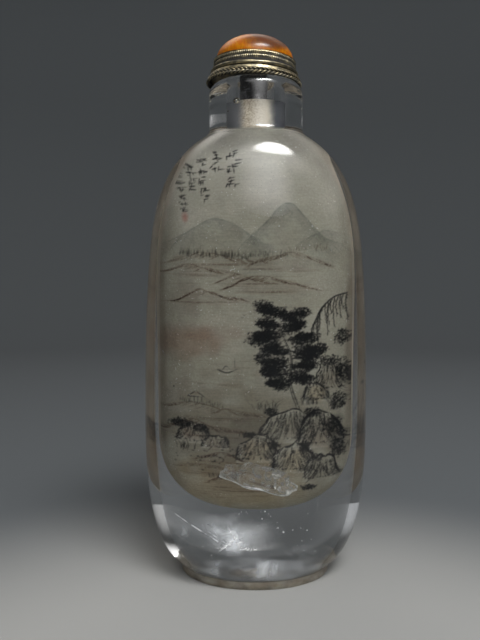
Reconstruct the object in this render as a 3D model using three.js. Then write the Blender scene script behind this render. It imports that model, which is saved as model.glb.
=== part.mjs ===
// A snuff bottle of clear rock crystal: a flattened oval body with high shoulders, a round neck, a low
// oval foot rim and a hollowed inside, closed by a stopper. The stopper is a domed amber cabochon in a
// stepped metal collar, with a short cork below it, and leans a little on the bottle's rounded lip.
// Millimetres, +Z up. The origin is the middle of the foot's underside, and the broad faces look along Y.

import * as THREE from 'three';

// Foot rim
const footHalfWidth = 12.9;
const footHalfDepth = 9.3;
const footHeight = 1.5;
const footRimWidth = 2.3;
const footRecess = 1.0;
const footEdge = 0.3;

// Body
const bodyHalfWidth = 19.11;
const bodyHalfDepth = 12.5;
const widestHeight = 26.0;
const shoulderHeight = 75.0;
const shoulderTaper = 2.6;
const taperHeight = 50.0;
const footCurve = { power: 2.5, reach: 1.4 };
const shoulderCurve = { power: 7.9, reach: 2.05 };
const roundPlan = 2.0;
const bodyPlan = 2.25;

// Neck and mouth
const neckRadius = 7.9;
const neckFillet = 0.5;
const mouthHeight = 83.5;
const lipInset = 1.7;
const lipDrop = 2.0;
const boreRadius = 3.1;
const mouthEdge = 0.4;

// Hollow
const hollowHalfWidth = 13.7;
const hollowHalfDepth = 8.8;
const hollowMiddle = 30.0;
const hollowFloor = 12.6;
const hollowTop = 73.4;
const floorCurve = { power: 4.0, bend: 0.42 };
const ceilingCurve = { power: 5.3, reach: 0.7 };

// Stopper: heights are measured from the underside of the collar's lowest ring
const stopperLean = THREE.MathUtils.degToRad(2);
const stopperShift = -0.33;
const stopperHeight = 83.25;
const lowerRope = { radius: 7.78, wire: 0.27, height: 0.27 };
const upperRope = { radius: 7.62, wire: 0.24, height: 0.78 };
const slope = { outer: 7.6, inner: 7.42, bottom: 1.04, top: 1.44 };
const grooveRadius = 7.1;
const middleRing = { radius: 7.06, wire: 0.3, height: 1.97 };
const band = { radius: 6.84, bottom: 2.28, top: 2.62 };
const bezel = { outer: 6.93, wall: 0.3, bevel: 0.08, top: 4.0 };
const undersideRecess = 1.15;
const corkSocketDepth = 0.9;
const seatHeight = 2.95;
const settingGap = 0.15;
const cabochonHeight = 8.12;
const corkTop = { radius: 2.4, gap: 0.3 };
const corkTip = { radius: 2.3, depth: 3.05, edge: 0.25 };

// How finely the round shapes are divided
const bottleSides = 48;
const collarSides = 52;
const cabochonSides = 40;
const corkSides = 24;

// Half a span at share u of the way from a body's middle to its end, where it narrows to endSpan at endShare
function narrowed(fullSpan, endSpan, u, endShare, power) {
  const bend = Math.log(endSpan / fullSpan) / Math.log(1 - endShare ** power);
  return fullSpan * (1 - u ** power) ** bend;
}

function eased(count, ease) {
  return Array.from({ length: count + 1 }, (_, i) => ease((i / count) * (Math.PI / 2)));
}

// The outside of the body, from the foot rim up to the neck
function bodyRings() {
  const rings = [];
  const lowReach = widestHeight - footHeight + footCurve.reach;
  const lowEnd = (widestHeight - footHeight) / lowReach;
  for (const share of eased(9, (t) => 1 - Math.cos(t))) {
    const z = THREE.MathUtils.lerp(footHeight, widestHeight, share);
    const u = (widestHeight - z) / lowReach;
    rings.push({
      z,
      a: narrowed(bodyHalfWidth, footHalfWidth, u, lowEnd, footCurve.power),
      b: narrowed(bodyHalfDepth, footHalfDepth, u, lowEnd, footCurve.power),
      plan: THREE.MathUtils.lerp(roundPlan, bodyPlan, share),
    });
  }
  const highReach = shoulderHeight - widestHeight + shoulderCurve.reach;
  const highEnd = (shoulderHeight - widestHeight) / highReach;
  for (const share of eased(14, Math.sin).slice(1)) {
    const z = THREE.MathUtils.lerp(widestHeight, shoulderHeight, share);
    const u = (z - widestHeight) / highReach;
    const width = bodyHalfWidth - shoulderTaper * ((z - widestHeight) / taperHeight) ** 2;
    rings.push({
      z,
      a: narrowed(width, neckRadius, u, highEnd, shoulderCurve.power),
      b: narrowed(bodyHalfDepth, neckRadius, u, highEnd, shoulderCurve.power),
      plan: THREE.MathUtils.lerp(bodyPlan, roundPlan, share ** 8),
    });
  }
  return rings;
}

// The neck's wall, its rounded lip and the bore, down to the hollow
function neckRings() {
  const round = (z, radius) => ({ z, a: radius, b: radius, plan: roundPlan });
  const lip = eased(5, (t) => t).map((t) =>
    round(mouthHeight - lipDrop * (1 - Math.sin(t)), neckRadius - lipInset * (1 - Math.cos(t))));
  return [
    round(shoulderHeight + neckFillet, neckRadius),
    ...lip,
    round(mouthHeight, boreRadius + mouthEdge),
    round(mouthHeight - mouthEdge, boreRadius),
    round(hollowTop, boreRadius),
  ];
}

// The hollow, from the bore down to the last ring above its floor
function hollowRings() {
  const rings = [];
  const highReach = hollowTop - hollowMiddle + ceilingCurve.reach;
  const highEnd = (hollowTop - hollowMiddle) / highReach;
  for (const share of eased(12, Math.sin).reverse().slice(1)) {
    const z = THREE.MathUtils.lerp(hollowMiddle, hollowTop, share);
    const u = (z - hollowMiddle) / highReach;
    rings.push({
      z,
      a: narrowed(hollowHalfWidth, boreRadius, u, highEnd, ceilingCurve.power),
      b: narrowed(hollowHalfDepth, boreRadius, u, highEnd, ceilingCurve.power),
      plan: THREE.MathUtils.lerp(bodyPlan, roundPlan, share ** 8),
    });
  }
  for (const u of eased(8, Math.sin).slice(1, -1)) {
    const span = (1 - u ** floorCurve.power) ** floorCurve.bend;
    rings.push({
      z: THREE.MathUtils.lerp(hollowMiddle, hollowFloor, u),
      a: hollowHalfWidth * span,
      b: hollowHalfDepth * span,
      plan: bodyPlan,
    });
  }
  return rings;
}

function footRings() {
  const oval = (z, inset) => ({ z, a: footHalfWidth - inset, b: footHalfDepth - inset, plan: roundPlan });
  return [
    oval(footRecess, footRimWidth + footEdge),
    oval(0, footRimWidth),
    oval(0, footEdge),
    oval(footEdge, 0),
  ];
}

// A closed skin through level oval rings that starts and ends at a point on the upright axis
function ovalSkin(rings, startHeight, endHeight, sides) {
  const positions = [0, 0, startHeight];
  for (const { z, a, b, plan } of rings) {
    for (let side = 0; side < sides; side += 1) {
      const angle = (side / sides) * 2 * Math.PI;
      const cosine = Math.cos(angle);
      const sine = Math.sin(angle);
      const x = a * Math.sign(cosine) * Math.abs(cosine) ** (2 / plan);
      const y = b * Math.sign(sine) * Math.abs(sine) ** (2 / plan);
      positions.push(x, y, z);
    }
  }
  positions.push(0, 0, endHeight);
  const end = positions.length / 3 - 1;
  const at = (ring, side) => 1 + ring * sides + (side % sides);
  const triangles = [];
  for (let side = 0; side < sides; side += 1) {
    triangles.push(0, at(0, side + 1), at(0, side));
    for (let ring = 0; ring < rings.length - 1; ring += 1) {
      triangles.push(at(ring, side), at(ring, side + 1), at(ring + 1, side + 1));
      triangles.push(at(ring, side), at(ring + 1, side + 1), at(ring + 1, side));
    }
    triangles.push(at(rings.length - 1, side), at(rings.length - 1, side + 1), end);
  }
  const skin = new THREE.BufferGeometry();
  skin.setAttribute('position', new THREE.Float32BufferAttribute(positions, 3));
  skin.setIndex(triangles);
  skin.computeVertexNormals();
  return skin;
}

// A round piece from its half section, as [radius, height] from its lowest point on the axis to its highest
function turned(section, sides) {
  const points = section.map(([radius, height]) => new THREE.Vector2(radius, height));
  return new THREE.LatheGeometry(points, sides).rotateX(Math.PI / 2);
}

// The outer half of a wire's round section, from its underside to its top
function wireSection({ radius, wire, height }, steps) {
  return Array.from({ length: steps + 1 }, (_, i) => {
    const angle = (i / steps - 0.5) * Math.PI;
    return [radius + wire * Math.cos(angle), height + wire * Math.sin(angle)];
  });
}

function bottle() {
  const rings = [...footRings(), ...bodyRings(), ...neckRings(), ...hollowRings()];
  const material = new THREE.MeshStandardMaterial({
    color: 0xc9cdcb, roughness: 0.06, metalness: 0, transparent: true, opacity: 0.45,
  });
  const mesh = new THREE.Mesh(ovalSkin(rings, footRecess, hollowFloor, bottleSides), material);
  mesh.name = 'bottle';
  return mesh;
}

function collar() {
  const socketRadius = corkTop.radius + corkTop.gap;
  const socketTop = undersideRecess + corkSocketDepth;
  const ropeInside = lowerRope.radius - lowerRope.wire;
  const section = [
    [0, socketTop],
    [socketRadius, socketTop],
    [socketRadius, undersideRecess],
    [ropeInside, undersideRecess],
    [ropeInside, lowerRope.height],
    ...wireSection(lowerRope, 5),
    ...wireSection(upperRope, 5),
    [slope.outer, slope.bottom],
    [slope.inner, slope.top],
    [grooveRadius, slope.top + 0.06],
    ...wireSection(middleRing, 5),
    [band.radius, band.bottom],
    [band.radius, band.top],
    [bezel.outer, band.top + bezel.bevel],
    [bezel.outer, bezel.top - bezel.bevel],
    [bezel.outer - bezel.bevel, bezel.top],
    [bezel.outer - bezel.wall, bezel.top],
    [bezel.outer - bezel.wall, seatHeight],
    [0, seatHeight],
  ];
  const material = new THREE.MeshStandardMaterial({ color: 0x8a7a52, roughness: 0.4, metalness: 0.9 });
  const mesh = new THREE.Mesh(turned(section, collarSides), material);
  mesh.name = 'collar';
  return mesh;
}

function cabochon() {
  const girdle = bezel.outer - bezel.wall - settingGap;
  const base = seatHeight + settingGap;
  const dome = eased(9, (t) => t).map((t) => [
    girdle * Math.cos(t),
    bezel.top + (cabochonHeight - bezel.top) * Math.sin(t),
  ]);
  dome[dome.length - 1][0] = 0;
  const section = [[0, base], [girdle - 0.2, base], [girdle, base + 0.2], ...dome];
  const material = new THREE.MeshStandardMaterial({ color: 0xb25a08, roughness: 0.15, metalness: 0 });
  const mesh = new THREE.Mesh(turned(section, cabochonSides), material);
  mesh.name = 'cabochon';
  return mesh;
}

function cork() {
  const section = [
    [0, -corkTip.depth],
    [corkTip.radius - corkTip.edge, -corkTip.depth],
    [corkTip.radius, -corkTip.depth + corkTip.edge],
    [corkTop.radius, undersideRecess + corkSocketDepth - corkTop.gap],
    [0, undersideRecess + corkSocketDepth - corkTop.gap],
  ];
  const material = new THREE.MeshStandardMaterial({ color: 0x3a2d22, roughness: 0.9, metalness: 0 });
  const mesh = new THREE.Mesh(turned(section, corkSides), material);
  mesh.name = 'cork';
  return mesh;
}

function stopper() {
  const group = new THREE.Group();
  group.position.set(stopperShift, 0, stopperHeight);
  group.rotation.y = stopperLean;
  group.add(collar(), cabochon(), cork());
  return group;
}

const snuffBottle = new THREE.Group();
snuffBottle.add(bottle(), stopper());

export default snuffBottle;
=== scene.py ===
"""Dresses the snuff bottle: its polished rock crystal, painted hollow, flaws and stopper."""

from __future__ import annotations

import logging
import math
from collections.abc import Callable, Iterable, Sequence
from dataclasses import dataclass, field
from enum import Enum

import bmesh
import bpy
import numpy as np
from mathutils import Matrix, Vector

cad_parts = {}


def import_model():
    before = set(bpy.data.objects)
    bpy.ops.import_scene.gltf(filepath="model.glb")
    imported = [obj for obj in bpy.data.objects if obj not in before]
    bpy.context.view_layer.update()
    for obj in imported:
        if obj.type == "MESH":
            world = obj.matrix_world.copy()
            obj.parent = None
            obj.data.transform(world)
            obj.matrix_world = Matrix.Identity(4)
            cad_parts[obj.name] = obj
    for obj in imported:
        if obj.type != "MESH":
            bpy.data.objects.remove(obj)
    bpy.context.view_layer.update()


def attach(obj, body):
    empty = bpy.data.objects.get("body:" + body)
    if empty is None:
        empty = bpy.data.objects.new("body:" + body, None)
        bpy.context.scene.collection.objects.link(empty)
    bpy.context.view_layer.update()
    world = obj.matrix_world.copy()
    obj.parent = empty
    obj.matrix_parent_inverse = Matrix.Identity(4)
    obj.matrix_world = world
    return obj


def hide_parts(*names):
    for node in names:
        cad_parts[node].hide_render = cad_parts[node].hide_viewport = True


MM = 0.001
ROOT = "root"
log = logging.getLogger("snuff_bottle")

Colour = tuple[float, float, float]
Place = tuple[float, float, float]
Range = tuple[float, float]
Line = Sequence[Sequence[float]]
Oval = tuple[float, float, float, float]
Spans = tuple[np.ndarray, np.ndarray, np.ndarray]

ROUND = 2.0  # squareness of a plain oval
WELD = 1e-7  # metres within which points become one
SMOOTH = 180.0  # degrees: no edge stays crisp


# ---------------------------------------------------------------------------
# Shader graphs
# ---------------------------------------------------------------------------


class Signal:
    """A shader output that takes part in Python arithmetic."""

    def __init__(self, graph: Graph, socket: bpy.types.NodeSocket) -> None:
        """Wraps one output socket of a graph."""
        self.graph = graph
        self.socket = socket

    def _math(self, operation: str, *terms: Signal | float) -> Signal:
        """Adds one Math node and returns its output."""
        return self.graph.node("ShaderNodeMath", {"operation": operation}, dict(enumerate(terms)))

    def __add__(self, other: Signal | float) -> Signal:
        """Sum."""
        return self._math("ADD", self, other)

    __radd__ = __add__

    def __sub__(self, other: Signal | float) -> Signal:
        """Difference."""
        return self._math("SUBTRACT", self, other)

    def __rsub__(self, other: float) -> Signal:
        """Difference from a number."""
        return self._math("SUBTRACT", other, self)

    def __mul__(self, other: Signal | float) -> Signal:
        """Product."""
        return self._math("MULTIPLY", self, other)

    __rmul__ = __mul__

    def __truediv__(self, other: Signal | float) -> Signal:
        """Quotient."""
        return self._math("DIVIDE", self, other)

    def __pow__(self, power: float) -> Signal:
        """Power."""
        return self._math("POWER", self, power)

    def abs(self) -> Signal:
        """Size without sign."""
        return self._math("ABSOLUTE", self)

    def clamped(self) -> Signal:
        """The value held between 0 and 1."""
        return self.graph.node("ShaderNodeClamp", {}, {0: self})

    def step(self, low: float, high: float) -> Signal:
        """A smooth rise from 0 at low to 1 at high."""
        return self.graph.node(
            "ShaderNodeMapRange",
            {"interpolation_type": "SMOOTHSTEP"},
            {"Value": self, "From Min": low, "From Max": high},
        )


def socket_name(key: str) -> str:
    """A Principled socket's name, from its form in lower case with underscores."""
    return key.replace("_", " ").title().replace("Ior", "IOR")


def set_value(socket: bpy.types.NodeSocket, value: float | Sequence[float]) -> None:
    """Gives a socket its value, with full alpha where a colour needs it."""
    if isinstance(value, tuple) and len(value) == 3 and len(socket.default_value) == 4:
        value = (*value, 1.0)
    socket.default_value = value


class Graph:
    """One material's node tree, with a Principled shader behind its output."""

    def __init__(self, name: str, **constants: float | Colour) -> None:
        """Starts a material.

        Args:
            name: The material's name.
            **constants: Values for the shader's sockets, named in lower case with underscores.
        """
        self.material = bpy.data.materials.new(name)
        self.material.use_nodes = True
        self.tree = self.material.node_tree
        self.shader = self.tree.nodes["Principled BSDF"]
        for key, value in constants.items():
            set_value(self.shader.inputs[socket_name(key)], value)

    def node(
        self, kind: str, settings: dict[str, object], inputs: dict[int | str, object],
        output: int | str = 0,
    ) -> Signal:
        """Adds a node.

        Args:
            kind: The node's type.
            settings: Attributes set before the sockets.
            inputs: Values or signals for its sockets, by index or name.
            output: The socket to return.

        Returns:
            The chosen output as a signal.
        """
        made = self.tree.nodes.new(kind)
        for key, value in settings.items():
            setattr(made, key, value)
        for key, value in inputs.items():
            if isinstance(value, Signal):
                self.tree.links.new(value.socket, made.inputs[key])
            else:
                set_value(made.inputs[key], value)
        return Signal(self, made.outputs[output])

    def place(self) -> Signal:
        """The point on the object, in metres."""
        return self.node("ShaderNodeTexCoord", {}, {}, "Object")

    def axes(self) -> tuple[Signal, Signal, Signal]:
        """The point's X, Y and Z in millimetres."""
        split = self.node("ShaderNodeSeparateXYZ", {}, {0: self.place()}).socket.node
        return tuple(Signal(self, split.outputs[i]) * (1 / MM) for i in range(3))

    def noise(
        self, grain: float, detail: float = 3.0, stretch: Sequence[float] = (1, 1, 1),
        warp: float = 0.0,
    ) -> Signal:
        """Soft noise around 0.5.

        Args:
            grain: Size of its lumps, in millimetres.
            detail: How many finer layers it has.
            stretch: How many times longer its lumps are along each axis.
            warp: How much it swirls.

        Returns:
            The noise as a signal.
        """
        scale = tuple(1 / (MM * grain * s) for s in stretch)
        spot = self.node("ShaderNodeMapping", {}, {"Vector": self.place(), "Scale": scale})
        inputs = {"Vector": spot, "Scale": 1.0, "Detail": detail, "Distortion": warp}
        return self.node("ShaderNodeTexNoise", {}, inputs)

    def cell_edges(self, grain: float) -> Signal:
        """Distance to the nearest edge in a pattern of cells of a size in millimetres."""
        inputs = {"Vector": self.place(), "Scale": 1 / (MM * grain)}
        return self.node(
            "ShaderNodeTexVoronoi", {"feature": "DISTANCE_TO_EDGE"}, inputs, "Distance"
        )

    def mix(
        self, share: Signal | float, first: Signal | Colour, second: Signal | Colour,
        how: str = "MIX",
    ) -> Signal:
        """Mixes two colours by a share of the second."""
        factor, colour_a, colour_b, result = 0, 6, 7, 2
        settings = {"data_type": "RGBA", "blend_type": how}
        return self.node(
            "ShaderNodeMix", settings, {factor: share, colour_a: first, colour_b: second}, result
        )

    def attribute(self, name: str, output: str = "Fac") -> Signal:
        """Reads an attribute of the mesh."""
        return self.node("ShaderNodeAttribute", {"attribute_name": name}, {}, output)

    def feed(self, **signals: Signal) -> None:
        """Links signals to the shader's sockets, named in lower case with underscores."""
        for key, signal in signals.items():
            self.tree.links.new(signal.socket, self.shader.inputs[socket_name(key)])

    def bump(self, height: Signal, depth: float, strength: float = 1.0) -> None:
        """Roughens the surface by a height signal, with depth in millimetres."""
        inputs = {"Height": height, "Distance": depth * MM, "Strength": strength}
        self.feed(normal=self.node("ShaderNodeBump", {}, inputs, "Normal"))

    def see_through(self, cover: Signal) -> None:
        """Lets what is behind show wherever cover is under 1."""
        clear = self.node("ShaderNodeBsdfTransparent", {}, {})
        solid = Signal(self, self.shader.outputs[0])
        blend = self.node("ShaderNodeMixShader", {}, {0: cover, 1: clear, 2: solid})
        self.tree.links.new(blend.socket, self.tree.nodes["Material Output"].inputs["Surface"])


# ---------------------------------------------------------------------------
# Form of the crystal
# ---------------------------------------------------------------------------


def narrowed(
    full: np.ndarray | float, end: float, share: np.ndarray, end_share: float, power: float
) -> np.ndarray:
    """Half spans that shrink along a rounded curve.

    Args:
        full: The half span at share 0.
        end: The half span at end_share.
        share: How far along the curve each place is.
        end_share: Where the curve ends.
        power: How late the curve turns in.

    Returns:
        The half span at each share.
    """
    bend = np.log(end / full) / np.log(1 - end_share**power)
    return full * (1 - share**power) ** bend


@dataclass(frozen=True)
class CrystalForm:
    """Sizes of the bottle in millimetres, and the level section at any height."""

    foot_across: float = 12.9
    foot_through: float = 9.3
    foot_height: float = 1.5
    foot_rim: float = 2.3
    foot_recess: float = 1.0
    foot_edge: float = 0.3
    foot_fillet: float = 0.45
    across: float = 19.11
    through: float = 12.5
    widest: float = 26.0
    shoulder: float = 75.0
    taper: float = 2.6
    taper_height: float = 50.0
    low_power: float = 2.5
    low_reach: float = 1.4
    high_power: float = 7.9
    high_reach: float = 2.05
    shoulder_end: float = 74.25
    neck_start: float = 76.1
    plan: float = 2.25
    plan_power: int = 8
    neck: float = 7.9
    mouth: float = 83.5
    lip_inset: float = 1.7
    lip_drop: float = 2.0
    bore: float = 3.1
    mouth_edge: float = 0.4
    hollow_across: float = 13.7
    hollow_through: float = 8.8
    hollow_middle: float = 30.0
    hollow_floor: float = 12.6
    hollow_top: float = 73.4
    floor_power: float = 4.0
    floor_bend: float = 0.42
    ceiling_power: float = 5.3
    ceiling_reach: float = 0.7

    def outside(self, z: np.ndarray) -> Spans:
        """The outside's level section.

        Args:
            z: Heights in millimetres.

        Returns:
            Half span across, half span through and squareness at each height.
        """
        low_reach = self.widest - self.foot_height + self.low_reach
        low_end = (self.widest - self.foot_height) / low_reach
        low_z = np.clip(z, self.foot_height, self.widest)
        share = (self.widest - low_z) / low_reach
        low_a = narrowed(self.across, self.foot_across, share, low_end, self.low_power)
        low_b = narrowed(self.through, self.foot_through, share, low_end, self.low_power)
        rise = (low_z - self.foot_height) / (self.widest - self.foot_height)
        low_p = ROUND + (self.plan - ROUND) * rise
        high_reach = self.shoulder - self.widest + self.high_reach
        high_end = (self.shoulder - self.widest) / high_reach
        high_z = np.clip(z, self.widest, self.shoulder)
        share = (high_z - self.widest) / high_reach
        full = self.across - self.taper * ((high_z - self.widest) / self.taper_height) ** 2
        high_a = narrowed(full, self.neck, share, high_end, self.high_power)
        high_b = narrowed(self.through, self.neck, share, high_end, self.high_power)
        rise = (high_z - self.widest) / (self.shoulder - self.widest)
        high_p = self.plan + (ROUND - self.plan) * rise**self.plan_power
        low = z < self.widest
        return np.where(low, low_a, high_a), np.where(low, low_b, high_b), np.where(
            low, low_p, high_p
        )

    def inside(self, z: np.ndarray) -> Spans:
        """The hollow's and the bore's level section.

        Args:
            z: Heights in millimetres.

        Returns:
            Half span across, half span through and squareness at each height.
        """
        reach = self.hollow_top - self.hollow_middle + self.ceiling_reach
        end = (self.hollow_top - self.hollow_middle) / reach
        high_z = np.clip(z, self.hollow_middle, self.hollow_top)
        share = (high_z - self.hollow_middle) / reach
        high_a = narrowed(self.hollow_across, self.bore, share, end, self.ceiling_power)
        high_b = narrowed(self.hollow_through, self.bore, share, end, self.ceiling_power)
        rise = (high_z - self.hollow_middle) / (self.hollow_top - self.hollow_middle)
        high_p = self.plan + (ROUND - self.plan) * rise**self.plan_power
        low_z = np.clip(z, self.hollow_floor, self.hollow_middle)
        share = (self.hollow_middle - low_z) / (self.hollow_middle - self.hollow_floor)
        span = np.clip(1 - share**self.floor_power, 0, 1) ** self.floor_bend
        low = z < self.hollow_middle
        across = np.where(low, self.hollow_across * span, high_a)
        through = np.where(low, self.hollow_through * span, high_b)
        return across, through, np.where(low, self.plan, high_p)


def quarter(count: int) -> list[float]:
    """Angles of a quarter turn in count steps, both ends included."""
    return [i / count * math.pi / 2 for i in range(count + 1)]


def eased(count: int, law: Callable[[float], float]) -> np.ndarray:
    """Shares from 0 to 1 in count steps, crowded by a quarter turn of sine or cosine."""
    return np.array([law(angle) for angle in quarter(count)])


def oval_point(angle: np.ndarray, a: np.ndarray, b: np.ndarray, plan: np.ndarray) -> tuple[
    np.ndarray, np.ndarray
]:
    """The point at an angle of a level oval, from its half spans and squareness."""
    cosine, sine = np.cos(angle), np.sin(angle)
    x = a * np.sign(cosine) * np.abs(cosine) ** (2 / plan)
    y = b * np.sign(sine) * np.abs(sine) ** (2 / plan)
    return x, y


def piece(
    name: str, shape: bmesh.types.BMesh, finish: Graph, smooth: float | None = 40.0
) -> bpy.types.Object:
    """Turns a finished shape into an object.

    Args:
        name: The piece's name.
        shape: Its shape, in metres. It is freed.
        finish: Its material.
        smooth: Edges sharper than this, in degrees, stay crisp. None shades it flat.

    Returns:
        The new object.
    """
    mesh = bpy.data.meshes.new(name)
    shape.to_mesh(mesh)
    shape.free()
    if smooth is not None:
        mesh.shade_smooth()
        mesh.set_sharp_from_angle(angle=math.radians(smooth))
    mesh.materials.append(finish.material)
    made = bpy.data.objects.new(name, mesh)
    bpy.context.scene.collection.objects.link(made)
    log.info("%s: %d faces", name, len(mesh.polygons))
    return made


def coordinates(mesh: bpy.types.Mesh) -> np.ndarray:
    """The mesh's vertices as rows of metres."""
    flat = np.empty(len(mesh.vertices) * 3)
    mesh.vertices.foreach_get("co", flat)
    return flat.reshape(-1, 3)


def section_line(shape: bmesh.types.BMesh, section: Iterable[Sequence[float]]) -> list[
    bmesh.types.BMVert
]:
    """Adds a line on the XZ plane.

    Args:
        shape: The shape that gets it.
        section: Its points, as radius and height in millimetres.

    Returns:
        The new vertices, in order.
    """
    verts = [shape.verts.new((r * MM, 0, z * MM)) for r, z in section]
    for start, end in zip(verts, verts[1:]):
        shape.edges.new((start, end))
    return verts


def turn(shape: bmesh.types.BMesh, steps: int) -> None:
    """Spins everything in the shape a full turn about Z and closes its seam and poles."""
    bmesh.ops.spin(
        shape,
        geom=[*shape.verts, *shape.edges],
        cent=(0, 0, 0),
        axis=(0, 0, 1),
        angle=math.tau,
        steps=steps,
        use_merge=True,
    )
    bmesh.ops.remove_doubles(shape, verts=shape.verts, dist=WELD)
    bmesh.ops.recalc_face_normals(shape, faces=shape.faces)


# ---------------------------------------------------------------------------
# Crystal
# ---------------------------------------------------------------------------


@dataclass(frozen=True)
class RockCrystal:
    """Polished natural quartz with a faint warm cast, a hand-rubbed surface and a worn heel."""

    tint: Colour = (0.985, 0.98, 0.97)
    refraction: float = 1.544
    heel: Range = (1.8, 6.5)
    worn: float = 0.07
    scuff: float = 0.10

    def graph(self) -> Graph:
        """Builds the material."""
        g = Graph(
            "rock_crystal", base_color=self.tint, roughness=0.0, ior=self.refraction,
            transmission_weight=1.0,
        )
        _, _, up = g.axes()
        scuffed = g.noise(2.2, 3.0, (1.5, 1.5, 0.6)).step(0.3, 0.7)
        g.feed(roughness=(1 - up.step(*self.heel)) * (scuffed * self.scuff + self.worn))
        g.bump(g.noise(6.0, 1.0), 0.012, 0.6)
        return g


@dataclass
class Crystal:
    """The bottle itself, from foot rim to mouth and down into the hollow."""

    form: CrystalForm = field(default_factory=CrystalForm)
    finish: RockCrystal = field(default_factory=RockCrystal)
    sides: int = 168
    neck_levels: Range = (78.0, 80.5)
    bore_levels: Range = (80.0, 77.0)

    def foot(self) -> list[Oval]:
        """Level ovals of the foot's recess and rim, from its middle outwards."""
        f = self.form
        spans, rim, fillet = (f.foot_across, f.foot_through), f.foot_rim, f.foot_fillet
        ovals = [(f.foot_recess, 0.0, 0.0, ROUND)]
        ovals += [
            (f.foot_recess, *[s - inset for s in spans], ROUND) for inset in (rim + 2, rim + 0.5)
        ]
        for angle in quarter(4):
            height = f.foot_recess - fillet * (1 - math.cos(angle))
            ovals.append(
                (height, *[s - rim - fillet + fillet * math.sin(angle) for s in spans], ROUND)
            )
        ovals.append((0.0, *[s - rim + 0.1 for s in spans], ROUND))
        for angle in quarter(5):
            inset = f.foot_edge * (1 - math.sin(angle))
            ovals.append((f.foot_edge * (1 - math.cos(angle)), *[s - inset for s in spans], ROUND))
        return ovals

    def side(self) -> list[Oval]:
        """Level ovals up the outside, with a fillet from the shoulder into the neck."""
        f = self.form
        low = f.foot_height + (f.widest - f.foot_height) * eased(30, lambda t: 1 - math.cos(t))
        high = f.widest + (f.shoulder_end - f.widest) * eased(46, math.sin)[1:]
        ovals = [
            (float(z), *(float(v) for v in f.outside(np.array(z))))
            for z in np.concatenate([low, high])
        ]
        z0, a0, b0, _ = ovals[-1]
        for t in np.linspace(0, 1, 8)[1:]:
            z = (1 - t) ** 2 * z0 + 2 * t * (1 - t) * f.shoulder + t**2 * f.neck_start
            a, b = ((1 - t) ** 2 * s + (1 - (1 - t) ** 2) * f.neck for s in (a0, b0))
            ovals.append((z, a, b, ROUND))
        return ovals

    def mouth(self) -> list[Oval]:
        """Level ovals up the neck, over the lip and into the bore."""
        f = self.form
        ovals = [(z, f.neck, f.neck, ROUND) for z in self.neck_levels]
        for angle in quarter(9):
            radius = f.neck - f.lip_inset * (1 - math.cos(angle))
            ovals.append((f.mouth - f.lip_drop * (1 - math.sin(angle)), radius, radius, ROUND))
        for angle in quarter(4):
            radius = f.bore + f.mouth_edge * (1 - math.sin(angle))
            ovals.append((f.mouth - f.mouth_edge * (1 - math.cos(angle)), radius, radius, ROUND))
        return ovals

    def hollow(self) -> list[Oval]:
        """Level ovals down the bore and the hollow to the middle of its floor."""
        f = self.form
        ceiling = f.hollow_middle + (f.hollow_top - f.hollow_middle) * eased(40, math.sin)[::-1]
        floor = f.hollow_middle + (f.hollow_floor - f.hollow_middle) * eased(26, math.sin)[1:-1]
        heights = np.concatenate([self.bore_levels, ceiling, floor])
        ovals = [(float(z), *(float(v) for v in f.inside(np.array(z)))) for z in heights]
        return [*ovals, (f.hollow_floor, 0.0, 0.0, ROUND)]

    def build(self) -> None:
        """Spins the section and presses it to its flattened plan."""
        ovals = [*self.foot(), *self.side(), *self.mouth(), *self.hollow()]
        shape = bmesh.new()
        layer = shape.verts.layers.int.new("level")
        for index, vert in enumerate(section_line(shape, [(a, z) for z, a, _, _ in ovals])):
            vert[layer] = index
        turn(shape, self.sides)
        for vert in shape.verts:
            _, a, b, plan = ovals[vert[layer]]
            x, y = oval_point(np.array(math.atan2(vert.co.y, vert.co.x)), a, b, plan)
            vert.co.x, vert.co.y = float(x) * MM, float(y) * MM
        body = piece("crystal_body", shape, self.finish.graph())
        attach(body, ROOT)
        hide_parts("bottle")


# ---------------------------------------------------------------------------
# Brushwork
# ---------------------------------------------------------------------------


HAIR, FINE, THIN = 0.05, 0.06, 0.07  # half widths of the lightest strokes, in millimetres


class Pigment(Enum):
    """Thin paints, each as the share of red, green and blue that it leaves of the ground."""

    INK = (0.06, 0.06, 0.075)
    GREY_INK = (0.30, 0.30, 0.31)
    MIST = (0.66, 0.69, 0.70)
    UMBER = (0.50, 0.40, 0.36)
    RUST = (0.72, 0.55, 0.50)
    OLIVE = (0.78, 0.73, 0.58)
    TAN = (0.98, 0.84, 0.66)
    SHADE = (0.52, 0.49, 0.45)
    SEAL = (0.95, 0.30, 0.26)
    CHALK = (1.35, 1.36, 1.36)


def flowing(points: Line, spacing: float) -> np.ndarray:
    """Rounds a line through a few points into a smooth path.

    Args:
        points: The places it passes, in millimetres.
        spacing: How far apart the path's own points lie, in millimetres.

    Returns:
        The path, as rows of x and z.
    """
    knots = np.array(points, float)
    knots = np.concatenate([2 * knots[:1] - knots[1:2], knots, 2 * knots[-1:] - knots[-2:-1]])
    parts = []
    for before, start, end, after in zip(knots, knots[1:], knots[2:], knots[3:]):
        count = max(2, int(np.hypot(*(end - start)) / spacing) + 1)
        t = np.linspace(0, 1, count, endpoint=False)[:, None]
        bend = (end - before) * t + (2 * before - 5 * start + 4 * end - after) * t**2
        bend += (3 * start - before - 3 * end + after) * t**3
        parts.append(start + 0.5 * bend)
    return np.concatenate([*parts, knots[-2:-1]])


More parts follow.
